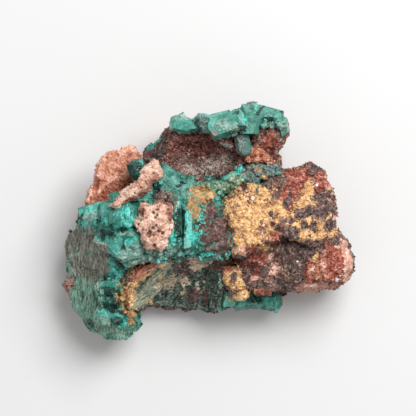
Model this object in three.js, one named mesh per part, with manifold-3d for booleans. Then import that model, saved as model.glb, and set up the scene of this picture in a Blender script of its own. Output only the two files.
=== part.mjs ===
// Dioptase on matrix: a broken lump of iron-stained rock lying on its back, with emerald-green
// dioptase grown over its upper face, pale calcite standing in it, and two druse-lined hollows.
// Millimetres, +Z up. X runs along the specimen, Y across it, and it rests on a flat base at Z = 0.
import * as THREE from "three";
import { ImprovedNoise } from "three/addons/math/ImprovedNoise.js";
import { mergeVertices } from "three/addons/utils/BufferGeometryUtils.js";
import Module from "manifold-3d";

const wasm = await Module();
wasm.setup();

// ---- driving dimensions -------------------------------------------------------------------
const SPECIMEN_LENGTH = 61; // along X, from the left lobe to the tip of the slab
const SEAT_GAP = 0.3; // clearance between two minerals that grew against each other
const CRUST = 1.1; // thickness of the druse that lines a hollow
const BASE_DEPTH = 20; // depth of the block that trims the base flat
const TERMINATION_DROP = 0.31; // how far a crystal's high end corners lie below its tip, in radii
const OUTLINE_SAMPLES = 48; // points that a lump's middle is averaged from

// ---- small helpers ------------------------------------------------------------------------
const noise = new ImprovedNoise();
const degrees = THREE.MathUtils.degToRad;

/** Height of a gently sloping surface with round knolls (or dips) on it, at a place in plan. */
function height({ level, slope = [0, 0], knolls = [] }, x, y) {
  let z = level + slope[0] * x + slope[1] * y;
  for (const [kx, ky, radius, rise] of knolls) {
    const away = ((x - kx) ** 2 + (y - ky) ** 2) / radius ** 2;
    z += rise * Math.exp(-away);
  }
  return z;
}

/** A geometry whose faces share their corners. */
function weld(geometry) {
  const bare = geometry.clone();
  bare.deleteAttribute("normal");
  bare.deleteAttribute("uv");
  return mergeVertices(bare, 1e-4);
}

/** A closed geometry as a solid that can be joined and cut. */
function solidOf(geometry) {
  const merged = weld(geometry);
  const mesh = new wasm.Mesh({
    numProp: 3,
    vertProperties: merged.attributes.position.array,
    triVerts: new Uint32Array(merged.index.array),
  });
  return new wasm.Manifold(mesh);
}

const join = (solids) => solids.reduce((whole, next) => whole.add(next));
const cut = (solid, tools) => tools.reduce((rest, tool) => rest.subtract(tool), solid);

/** The biggest body of a cut solid: the chips that a cut frees are thrown away. */
function mainBody(solid) {
  const bodies = solid.decompose();
  return bodies.reduce((big, next) => (next.volume() > big.volume() ? next : big));
}

// ---- shapes -------------------------------------------------------------------------------
/**
 * A lump of mineral. Its plan outline has full size at the rim's height, and is drawn in along
 * a squared-off curve to the crown above and the floor below; noise then roughens it. The mesh
 * is a box of cells x cells x layers blown up to a ball, so that no faces pinch at a pole.
 * grow swells the lump evenly, for the seat that its neighbour has to leave.
 */
function lump(shape, grow = 0) {
  const { outline, rim, crown, floor, square = 2.8, rough = 0.45, grain = 3.5 } = shape;
  const { cells = 6, layers = 4 } = shape;
  const corners = outline.map(([x, y]) => new THREE.Vector3(x, y, 0));
  const curve = new THREE.CatmullRomCurve3(corners, true, "centripetal");
  const middle = curve
    .getSpacedPoints(OUTLINE_SAMPLES)
    .reduce((sum, p) => sum.addScaledVector(p, 1 / (OUTLINE_SAMPLES + 1)), new THREE.Vector3());
  const geometry = weld(new THREE.BoxGeometry(2, 2, 2, cells, cells, layers));
  const position = geometry.attributes.position;
  for (let i = 0; i < position.count; i++) {
    const ray = new THREE.Vector3().fromBufferAttribute(position, i).normalize();
    const turn = Math.atan2(ray.y, ray.x) / (2 * Math.PI);
    const share = (turn + 1) % 1;
    const flat = Math.hypot(ray.x, ray.y);
    const reach = flat ** (2 / square);
    const lift = Math.abs(ray.z) ** (2 / square);
    const upper = ray.z > 0;
    const place = curve.getPointAt(share).sub(middle).multiplyScalar(reach).add(middle);
    const end = height(upper ? crown : floor, place.x, place.y);
    const start = height(rim, place.x, place.y);
    place.z = start + (end - start) * lift;
    const [u, v, w] = place.toArray().map((c) => c / grain);
    place.x += rough * noise.noise(u, v, w);
    place.y += rough * noise.noise(u + 31, v, w);
    place.z += rough * noise.noise(u, v + 57, w);
    position.setXYZ(i, place.x, place.y, place.z);
  }
  geometry.computeVertexNormals();
  for (let i = 0; i < position.count; i++) {
    const out = new THREE.Vector3().fromBufferAttribute(geometry.attributes.normal, i);
    const place = new THREE.Vector3().fromBufferAttribute(position, i).addScaledVector(out, grow);
    position.setXYZ(i, place.x, place.y, place.z);
  }
  return solidOf(geometry);
}

/**
 * A dioptase crystal: a six-sided prism with three rhombic faces meeting at each end. Every
 * other end corner drops twice as far below the tip, which keeps the three faces flat.
 * Its row is x, y, z of its middle, bearing and lean of its axis, length, radius and its roll
 * about the axis.
 */
function crystal([x, y, z, bearing, lean, length, radius, roll], grow = 0) {
  const girth = radius + grow;
  const half = length / 2 + grow;
  const geometry = new THREE.CylinderGeometry(girth, girth, 2 * half, 6);
  const position = geometry.attributes.position;
  for (let i = 0; i < position.count; i++) {
    const [px, py, pz] = [position.getX(i), position.getY(i), position.getZ(i)];
    if (Math.hypot(px, pz) < girth / 2) continue;
    const corner = Math.floor(Math.atan2(pz, px) / degrees(60) + 6) % 2;
    const low = (py > 0) === (corner === 0);
    const drop = TERMINATION_DROP * girth * (low ? 2 : 1);
    position.setY(i, py - Math.sign(py) * drop);
  }
  const axis = new THREE.Vector3(
    Math.sin(degrees(lean)) * Math.cos(degrees(bearing)),
    Math.sin(degrees(lean)) * Math.sin(degrees(bearing)),
    Math.cos(degrees(lean)),
  );
  const turn = new THREE.Quaternion().setFromUnitVectors(new THREE.Vector3(0, 1, 0), axis);
  geometry.rotateY(degrees(roll)).applyQuaternion(turn).translate(x, y, z);
  return solidOf(geometry);
}

/** Lumps and crystals that grew together, as one solid. */
function growth({ lumps = [], crystals = [] }, grow = 0) {
  return join([
    ...lumps.map((shape) => lump(shape, grow)),
    ...crystals.map((row) => crystal(row, grow)),
  ]);
}

// ---- the host rock ------------------------------------------------------------------------
const core = {
  outline: [
    [-22.5, -10], [-17.2, -15.5], [-9.9, -16.9], [-1.5, -17.7], [11.1, -16.9], [21, -12.9],
    [25.4, -6.8], [24.2, 4.1], [16.4, 8], [13.4, 14], [10.4, 18.4], [0.6, 19], [-7.8, 16.5],
    [-16.2, 9.3], [-21.5, 3], [-23, -4.3],
  ],
  rim: { level: 8 },
  crown: { level: 15.5, knolls: [[2, -15, 6, -4]] },
  floor: { level: -3.5 },
  square: 3,
  rough: 1.6,
  grain: 6,
  cells: 6,
};
const slab = {
  outline: [
    [4.2, -4.3], [5.4, -8.1], [6.3, -10.6], [7.3, -13.3], [9.4, -15], [13.2, -15.1],
    [17.4, -14.7], [21.6, -14.5], [24.8, -14.3], [27.7, -14], [29.5, -13.2], [30.2, -11.7],
    [30.5, -9.6], [29.9, -7.5], [29.2, -5.4], [28, -3.9], [26.9, -2.8], [27.5, -0.1],
    [27.1, 3], [26.5, 5.8], [24.9, 8.3], [24.5, 10.3], [23.1, 11.3], [21.4, 11.3],
    [19.6, 10.7], [17.4, 10.6], [15.3, 9.9], [12.8, 9.8], [10.3, 8.9], [6.9, 7.9], [4.4, 5.8], [3.1, 2.8],
  ],
  rim: { level: 14, slope: [-0.1, 0] },
  crown: {
    level: 22,
    slope: [-0.06, 0.02],
    knolls: [
      [12, -10, 5, -2.4], [26, -9, 5, 1.2], [22, 9.5, 3, 2.4], [14, 8, 3, 1.4],
    ],
  },
  floor: { level: 0.6, slope: [0.16, 0] },
  square: 3.6,
  rough: 0.9,
  grain: 3.2,
  cells: 8,
};
const slabCap = {
  outline: [
    [3.2, 2], [4.6, -3], [5.8, -5.6], [5.4, -7.6], [7.6, -8.2], [9.8, -6.6], [13, -4.4],
    [17.2, -3.4], [21.6, -5.4], [25.6, -4.4], [26.4, -0.4], [25.4, 3.6], [20.4, 5.4],
    [15.8, 5.8], [11.8, 6.6], [8, 6.8], [4.8, 5.4],
  ],
  rim: { level: 22.6, slope: [-0.05, 0] },
  crown: { level: 25.6, slope: [-0.07, 0.02] },
  floor: { level: 16 },
  square: 4,
  rough: 0.8,
  grain: 2.4,
  cells: 7,
  layers: 2,
};
const upperBlock = {
  outline: [
    [-12.6, 11], [-7.8, 8.6], [-1.5, 6.2], [6.9, 7.2], [9.4, 11.4], [9, 16.7], [6.9, 19],
    [0.6, 20], [-5.7, 20], [-8.2, 18.4], [-10.3, 16.7], [-11.2, 15.2], [-13.6, 13.2],
  ],
  rim: { level: 13 },
  crown: { level: 23, slope: [0.08, 0] },
  floor: { level: 3 },
  square: 3.4,
  rough: 0.9,
  cells: 5,
};
const rightTop = {
  outline: [
    [7.8, 14.6], [8.2, 10.4], [11.5, 8.7], [14.9, 9.6], [14.9, 11.4], [14.6, 13.5], [14.6, 15.2],
    [16.2, 16.9], [16.6, 18.8], [15.3, 20.9], [11.5, 21.3], [8.6, 18.8],
  ],
  rim: { level: 15 },
  crown: { level: 22.5, knolls: [[12.5, 17, 3.5, 1.8], [11, 11.5, 2.5, -3]] },
  floor: { level: 4 },
  square: 3,
  rough: 0.8,
  grain: 2.6,
  cells: 5,
  layers: 3,
};
const alcoveWall = {
  outline: [
    [-18.7, -17.2], [-17.4, -19.5], [-15.3, -19.3], [-13.7, -18.3], [-12, -18.1],
    [-7.8, -18.8], [-5, -19.2], [-1.5, -19], [1.9, -19.1], [3.6, -17], [5, -11.9],
    [5.2, -8.1], [-1.5, -6.5], [-8.8, -6.5], [-15.2, -8.2], [-18.6, -13],
  ],
  rim: { level: 6 },
  crown: { level: 20.5, slope: [-0.1, 0], knolls: [[-17.5, -16, 4, -2.4]] },
  floor: { level: -2 },
  square: 3.4,
  rough: 0.6,
  cells: 5,
  layers: 3,
};
const underSlab = {
  outline: [
    [2.6, -10.4], [4.4, -13.8], [7, -16.9], [8.9, -16], [8.4, -13], [8, -9.6], [5.2, -9],
  ],
  rim: { level: 11 },
  crown: { level: 18.2 },
  floor: { level: 6 },
  cells: 4,
  layers: 2,
};
const limoniteKnob = {
  outline: [[8.3, 14], [8.8, 12.1], [10.4, 11.6], [11.9, 12.2], [11.6, 14], [10.2, 15], [9, 15]],
  rim: { level: 20.5 },
  crown: { level: 24.4 },
  floor: { level: 16 },
  rough: 0.9,
  grain: 1.4,
  cells: 4,
  layers: 2,
};
const limoniteCrumb = {
  outline: [[11, 12.8], [11.6, 11.2], [13.4, 11], [13.8, 12.2], [12.6, 14.2], [11.4, 14.2]],
  rim: { level: 20 },
  crown: { level: 23.2 },
  floor: { level: 16 },
  rough: 0.7,
  grain: 1.4,
  cells: 3,
  layers: 2,
};
const rockLumps = [
  core, slab, slabCap, upperBlock, rightTop, alcoveWall, underSlab, limoniteKnob, limoniteCrumb,
];

// ---- the hollows cut into the rock --------------------------------------------------------
const upperHollow = {
  outline: [
    [-9.8, 11.8], [-5.4, 9.2], [-0.6, 7.7], [4.2, 8.1], [7.2, 10.6], [7.5, 14.4], [4.4, 17.2],
    [-1.5, 18.6], [-6.7, 18.3], [-9.8, 16.6], [-11.9, 14.2],
  ],
  rim: { level: 24.5 },
  crown: { level: 40 },
  floor: { level: 17.4, knolls: [[-9.5, 14.5, 3, 3.4], [-2.5, 19, 4.6, 4.8], [4.5, 18.5, 4, 4.6]] },
  square: 2.6,
  rough: 0.6,
  grain: 3,
  cells: 5,
  layers: 3,
};
const alcove = {
  outline: [
    [-15.6, -20], [-12, -25], [-4, -27], [2.6, -24], [2.6, -17], [2.8, -12.4], [2.4, -8.8],
    [0, -7.6], [-6, -8], [-11, -9.4], [-14.2, -12], [-16.3, -16],
  ],
  rim: { level: 20 },
  crown: { level: 40 },
  floor: { level: 19.5, slope: [0, 0.72] },
  square: 2.8,
  rough: 1.4,
  grain: 2.6,
  cells: 5,
  layers: 3,
};

// ---- the dioptase -------------------------------------------------------------------------
const lobe = {
  outline: [
    [-26, 2], [-27.1, 0.5], [-27.7, -1.2], [-28.9, -2.6], [-29.5, -4.3], [-29.6, -7],
    [-29.2, -9.6], [-29.4, -11.7], [-30.3, -12.9], [-30.5, -14.8], [-30, -16.1],
    [-29.5, -17.5], [-28.7, -19], [-27.3, -20.2], [-25.7, -21.4], [-24.1, -22.9],
    [-21.4, -24.6], [-18.7, -25], [-16.2, -24.1], [-14.6, -23.2], [-14.3, -22.3],
    [-15.2, -20.7], [-16.4, -18.6], [-17.2, -15.9], [-16.2, -12.7], [-15, -8.9], [-12, -5.4],
    [-12, 0.9], [-15.1, 3], [-19.7, 2.4], [-22.5, 3.5], [-25.2, 2.6],
  ],
  rim: { level: 10 },
  crown: {
    level: 19,
    slope: [0.25, 0.05],
    knolls: [
      [-20, 0, 4, 8], [-19, -7, 4, 8], [-18.6, -13, 3.4, 7], [-20, -20, 4.5, 5],
      [-24, 0, 3.4, 5], [-25, -7, 3, 2.4], [-25, -18, 4, 2],
    ],
  },
  floor: { level: 1 },
  square: 2.5,
  rough: 1.5,
  grain: 2.4,
  cells: 8,
  layers: 4,
};
const centre = {
  outline: [
    [-20.8, -3.3], [-19.3, -7.5], [-16.6, -9.8], [-13, -8.9], [-8.8, -8.1], [-3.6, -7.9],
    [1.7, -8.1], [4.8, -7.2], [5.7, -4.3], [5, -0.5], [4, 3], [3.1, 6.2], [-0.4, 7],
    [-3.6, 8.7], [-6.7, 11], [-9.4, 12.3], [-12, 11.4], [-15.1, 7.2], [-18.7, 4.1],
    [-19.9, 1.6],
  ],
  rim: { level: 20 },
  crown: {
    level: 27,
    knolls: [[-10, -2, 5, 1.2], [0, 3, 4, -1], [2, -4, 3, 1.4], [-7, 8, 3, -1]],
  },
  floor: { level: 9 },
  square: 3.2,
  rough: 0.9,
  grain: 2.8,
  cells: 7,
  layers: 3,
};
const greenBand = {
  outline: [
    [-0.4, 5.6], [4, 5.6], [7.3, 7.1], [9.4, 9.6], [8.2, 11.6], [6.1, 10.4], [3.1, 8.6],
    [-0.4, 7.9], [-3.6, 7.5],
  ],
  rim: { level: 20 },
  crown: { level: 25.2, slope: [-0.2, 0] },
  floor: { level: 15 },
  cells: 5,
  layers: 2,
};
const saddle = {
  outline: [
    [8, 11.8], [7.5, 9], [9.5, 7.4], [12.5, 7.9], [15.6, 9.9], [15.4, 11.1], [12.5, 12.2],
  ],
  rim: { level: 19.4 },
  crown: { level: 22.6 },
  floor: { level: 15 },
  rough: 0.9,
  grain: 1.8,
  cells: 5,
  layers: 2,
};
// Each crystal: x, y, z of its middle, bearing and lean of its axis, length, radius, roll.
const massCrystals = [
  [-23.6, 0.2, 19.8, 112, 52, 7.4, 2.9, 0],
  [-20.8, 1.2, 22.4, 70, 46, 6.4, 2.2, 20],
  [-19.8, -3.2, 25.2, 250, 36, 8, 3.4, 10],
  [-16.8, 0.4, 26, 35, 62, 7.4, 3, 30],
  [-15.6, -3.8, 26.2, 300, 50, 6, 2.4, 0],
  [-16, -6.6, 25.4, 15, 80, 6.6, 1.9, 30],
  [-14, 10, 20.8, 130, 32, 7, 2.1, 0],
  [-18.6, 3.4, 21.2, 100, 40, 6, 1.7, 0],
  [-12.6, 5.2, 25, 60, 60, 4.8, 1.9, 30],
  [-13.2, 2.4, 26, 200, 65, 4.8, 1.6, 0],
  [-6, 0.4, 26.8, 92, 84, 8.4, 1.4, 30],
  [-3.9, -1.8, 26.6, 88, 86, 9.2, 1.5, 30],
  [-21.2, -14.4, 19.8, 2, 76, 5, 1.7, 30],
  [-20.6, -16.6, 19.4, 12, 78, 4.6, 1.5, 0],
  [-19.4, -19.2, 18.2, 330, 62, 5, 2.1, 0],
  [-21.4, -19.8, 17.2, 238, 50, 5.4, 2.4, 10],
];
const crestLump = {
  outline: [
    [-6.2, 18.9], [-3.6, 18.7], [0.2, 18], [3.8, 17.2], [6.9, 17.6], [9.8, 19.4],
    [13.2, 19.8], [15.6, 18.8], [16.6, 19.6], [15.8, 20.9], [14.6, 22], [12.8, 22.6],
    [11.2, 22.4], [10, 23.4], [8.4, 23.4], [6.5, 22], [4.4, 21.8], [1.7, 21.4],
    [-1.5, 20.6], [-4.6, 20.6], [-6.3, 20.4], [-7.4, 19.6], [-7.8, 18.7],
  ],
  rim: { level: 22.5 },
  crown: { level: 26.2 },
  floor: { level: 16 },
  cells: 6,
  layers: 2,
};
const crestCrystals = [
  [4.1, 19.6, 27, 20, 80, 8.8, 2.3, 30],
  [8.9, 20.8, 25.8, 72, 64, 7.2, 2.6, 30],
  [9.4, 23, 23.8, 95, 45, 3.4, 1.3, 0],
  [12.9, 21.8, 24.2, 165, 78, 6.4, 1.5, 30],
  [14.8, 20.4, 22.8, 330, 58, 4.6, 1.6, 0],
  [15.3, 19.1, 20.8, 330, 60, 4, 1.5, 30],
  [-5.1, 19.7, 24.8, 168, 76, 5.8, 1.7, 30],
  [-1.8, 20, 25.2, 40, 64, 4.6, 1.5, 30],
  [0.2, 19.4, 25.2, 230, 62, 3.8, 1.4, 0],
  [1.6, 20.9, 25.2, 14, 84, 7.4, 1.1, 30],
  [7.4, 15.8, 24.2, 280, 70, 5.4, 1.6, 30],
  [-5.2, 19.8, 21.2, 128, 58, 5, 1.9, 0],
  [-0.8, 20, 19.4, 80, 74, 4.6, 1.8, 0],
  [3.6, 20, 21, 108, 50, 5.4, 2.2, 0],
  [11.8, 20.2, 20.4, 98, 56, 4.8, 2, 0],
  [14.2, 19.6, 17.8, 50, 68, 4.4, 1.7, 0],
];
const footLump = {
  outline: [
    [0.2, -18.7], [1.9, -19.1], [3.1, -18.6], [4.8, -18.4], [8, -18.4], [10.7, -18.8],
    [15.4, -18.8], [15.7, -15.4], [12.4, -14.4], [8, -13.4], [3.6, -12.2], [1.5, -14.2],
    [0, -16.6],
  ],
  rim: { level: 7 },
  crown: { level: 12.4 },
  floor: { level: 1.2 },
  square: 3.4,
  cells: 5,
  layers: 2,
};
const footCrystals = [
  [5, -15.7, 12.4, 80, 62, 6, 2.4, 30],
  [8, -17, 10.8, 12, 80, 6.4, 2, 30],
  [12.4, -17, 10.6, 355, 84, 6.4, 1.8, 30],
  [2.4, -17.2, 9, 245, 60, 4.6, 1.8, 0],
];
const dioptaseMantle = { lumps: [lobe, centre], crystals: massCrystals };
const dioptaseLip = { lumps: [greenBand, saddle] };
const dioptaseCrest = { lumps: [crestLump], crystals: crestCrystals };
const dioptaseFoot = { lumps: [footLump], crystals: footCrystals };

// ---- the calcite --------------------------------------------------------------------------
const calcitePlate = {
  lumps: [
    {
      outline: [
        [-21.4, 1.6], [-18.2, 3.6], [-14.6, 6.6], [-12.6, 10.4], [-13.6, 12.9], [-14.6, 14],
        [-15.1, 15.2], [-16, 15.7], [-18.3, 14.9], [-20.4, 14.1], [-22.3, 12.4], [-23.6, 9.8],
        [-24.2, 7.7], [-24.7, 5.1], [-25.4, 2.6],
      ],
      rim: { level: 12.7, slope: [-0.2, 0.04] },
      crown: { level: 14.2, slope: [-0.2, 0.04], knolls: [[-17, 6, 4, -0.6]] },
      floor: { level: 11.2, slope: [-0.2, 0.04] },
      square: 4,
      rough: 0.5,
      cells: 6,
      layers: 2,
    },
  ],
};
const calciteRidge = {
  lumps: [
    {
      outline: [
        [-19.6, 1.7], [-18.3, 2.1], [-16.2, 3.9], [-13.8, 4.6], [-12.4, 5.5], [-11.4, 7.4],
        [-9.7, 8.8], [-9.4, 11.9], [-12.4, 11.8], [-13, 9.8], [-14.1, 8.3], [-14.8, 6.9],
        [-17.2, 6.1], [-18.7, 4.1], [-20.1, 2.4],
      ],
      rim: { level: 25 },
      crown: { level: 30 },
      floor: { level: 20 },
      square: 2.6,
      rough: 0.7,
      grain: 2,
      cells: 5,
      layers: 3,
    },
  ],
};
const calcitePatch = {
  lumps: [
    {
      outline: [
        [-14.2, 0.8], [-13.9, -2.2], [-13, -5.4], [-11.4, -6.2], [-9, -5.7], [-7.9, -2.6],
        [-7.3, 0.2], [-7.4, 2], [-9.2, 3.9], [-11.3, 2.9], [-13.8, 3],
      ],
      rim: { level: 26.5 },
      crown: { level: 30.6 },
      floor: { level: 23.4 },
      square: 4.5,
      rough: 0.9,
      grain: 1.7,
      cells: 6,
      layers: 3,
    },
  ],
};

// ---- fitting the minerals together --------------------------------------------------------
const seat = (grown) => growth(grown, SEAT_GAP);
const rock = growth({ lumps: rockLumps });
const rockSeat = seat({ lumps: rockLumps });
const baseTrim = solidOf(
  new THREE.BoxGeometry(4 * SPECIMEN_LENGTH, 4 * SPECIMEN_LENGTH, BASE_DEPTH).translate(
    0,
    0,
    -BASE_DEPTH / 2,
  ),
);
const calciteSeats = [seat(calcitePlate), seat(calciteRidge), seat(calcitePatch)];

/** The druse that lines a hollow: the rock within CRUST of the hollow's wall. */
function druse(hollow) {
  const lining = lump(hollow, CRUST).intersect(rock);
  return mainBody(cut(lining, [lump(hollow), seat(dioptaseLip), seat(dioptaseFoot), baseTrim]));
}

const solids = {
  calcite_plate: mainBody(growth(calcitePlate).subtract(rockSeat)),
  calcite_ridge: mainBody(growth(calciteRidge).subtract(rockSeat)),
  calcite_patch: growth(calcitePatch),
  dioptase_crest: mainBody(growth(dioptaseCrest).subtract(rockSeat)),
  dioptase_foot: mainBody(growth(dioptaseFoot).subtract(lump(slab, SEAT_GAP))),
  hollow_druse: druse(upperHollow),
  alcove_druse: druse(alcove),
};
solids.dioptase_mass = mainBody(
  cut(growth(dioptaseMantle).subtract(rockSeat).add(growth(dioptaseLip)), [
    ...calciteSeats,
    seat(dioptaseCrest),
  ]),
);
solids.matrix = mainBody(
  cut(rock, [
    lump(upperHollow, CRUST + SEAT_GAP),
    lump(alcove, CRUST + SEAT_GAP),
    seat(dioptaseLip),
    seat(dioptaseFoot).subtract(lump(slab)),
    baseTrim,
  ]),
);

// ---- the finished specimen ----------------------------------------------------------------
const finishes = {
  matrix: { color: 0x8a4a3a, roughness: 0.9 },
  dioptase_mass: { color: 0x1c8f7c, roughness: 0.35 },
  dioptase_crest: { color: 0x3fa58c, roughness: 0.3 },
  dioptase_foot: { color: 0x1f8570, roughness: 0.35 },
  calcite_plate: { color: 0xc98a72, roughness: 0.85 },
  calcite_ridge: { color: 0xe2b39a, roughness: 0.85 },
  calcite_patch: { color: 0xdcae94, roughness: 0.85 },
  hollow_druse: { color: 0x4a2a28, roughness: 0.6 },
  alcove_druse: { color: 0x2c3a34, roughness: 0.6 },
};

/** A solid as a three.js mesh in its own material. */
function meshOf(name, solid) {
  const { vertProperties, triVerts } = solid.getMesh();
  const geometry = new THREE.BufferGeometry()
    .setAttribute("position", new THREE.BufferAttribute(vertProperties, 3))
    .setIndex(new THREE.BufferAttribute(triVerts, 1));
  geometry.computeVertexNormals();
  const material = new THREE.MeshStandardMaterial({ metalness: 0, ...finishes[name] });
  const mesh = new THREE.Mesh(geometry, material);
  mesh.name = name;
  return mesh;
}

const specimen = new THREE.Group();
specimen.name = "dioptase_on_matrix";
for (const name of Object.keys(finishes)) {
  specimen.add(meshOf(name, solids[name]));
}
// The origin is the middle of the base, and the length is made exact.
const box = new THREE.Box3().setFromObject(specimen);
const middle = box.getCenter(new THREE.Vector3());
const scale = SPECIMEN_LENGTH / (box.max.x - box.min.x);
specimen.scale.setScalar(scale);
specimen.position.set(-middle.x, -middle.y, -box.min.z).multiplyScalar(scale);

export default specimen;
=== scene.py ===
import itertools

import bmesh
import bpy
import numpy as np
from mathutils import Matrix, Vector


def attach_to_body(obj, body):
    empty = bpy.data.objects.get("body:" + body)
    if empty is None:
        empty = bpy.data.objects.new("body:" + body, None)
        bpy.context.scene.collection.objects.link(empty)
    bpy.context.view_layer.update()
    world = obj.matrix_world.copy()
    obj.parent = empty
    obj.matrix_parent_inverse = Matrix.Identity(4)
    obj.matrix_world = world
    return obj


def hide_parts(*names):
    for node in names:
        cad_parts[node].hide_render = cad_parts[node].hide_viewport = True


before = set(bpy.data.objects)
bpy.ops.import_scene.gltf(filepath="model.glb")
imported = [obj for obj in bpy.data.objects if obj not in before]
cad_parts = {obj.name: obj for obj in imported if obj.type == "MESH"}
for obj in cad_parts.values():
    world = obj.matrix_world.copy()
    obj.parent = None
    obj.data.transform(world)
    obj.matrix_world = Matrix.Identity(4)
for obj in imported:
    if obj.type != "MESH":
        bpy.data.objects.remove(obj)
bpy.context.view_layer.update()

# Dioptase on matrix: the broken rock, its dioptase, its calcite and its two druse-lined hollows,
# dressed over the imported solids. Shapes are worked out in millimetres and written in metres.

MM = 0.001

# ---- driving values, with lengths in millimetres ------------------------------------------------
ROCK_MESH = 0.3  # edge of the quads that carry the rock's relief
CRYSTAL_MESH = 0.25  # the same on the dioptase and the calcite
CRYSTAL_CUTS = 7  # new points along each edge of a standing crystal
ROCK_GRAINS = 22000  # grains of bare rock, and again of limonite powder
SMALL_CRYSTALS = 0.009  # small standing crystals for each point of a dioptase surface
WELD = 0.001  # points nearer to each other than this are one
BASE_FADE = 1.6  # height over which relief grows from nothing at the flat base
SEAM_CLOSE = 0.16  # growth of each mineral that closes the clearance round it
EDGE_WEAR = 0.09  # width of the bruised bevel on a standing crystal
ETCH_DEPTH = 0.22  # depth of the pits in a standing crystal's faces
DRAWN_SCALE = 0.9983  # the crystal rows below shrink to this share, as the solids do,
DRAWN_SHIFT = np.array([0.245, 0.311, 0.0])  # and move by this, to stand about the origin
BAND_BEARING = 38.0  # the way the lower hollow's bands run, in degrees from X
TIP_DROP = 0.31  # how far a crystal's high end corners lie below its tip, in radii
CAMERA_PLAN = np.array([0.44, 2.72])  # point of the specimen that the camera stands over
FOCUS_HEIGHT = 14.0  # height above the base at which the plan is drawn at its true size
CAMERA_RISE = 727.0  # camera's height above that
LENS = 300.0  # the camera's focal length,
FRAME = 36.0  # and the width of the frame behind it
TABLE_REACH = 2000.0  # from the middle of the table to its edge

# Each mineral breaks into faces of two sizes: their width, and how much of their tilt shows.
ROCK_FACES = ((3.4, 0.3), (1.3, 0.24))
DIOPTASE_FACES = ((2.6, 0.5), (1.1, 0.36))
CALCITE_FACES = ((2.0, 1.0), (0.9, 0.9))

# How much higher noise must rise than for a common stain before this one drifts over the sides.
SCARCE = {
    "white": 0.9,
    "verdigris": 0.45,
    "greenbit": 0.45,
    "knobs": 0.3,
    "rustred": 0.2,
    "hematite": -0.1,
    "rose": -0.2,
}

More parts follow.
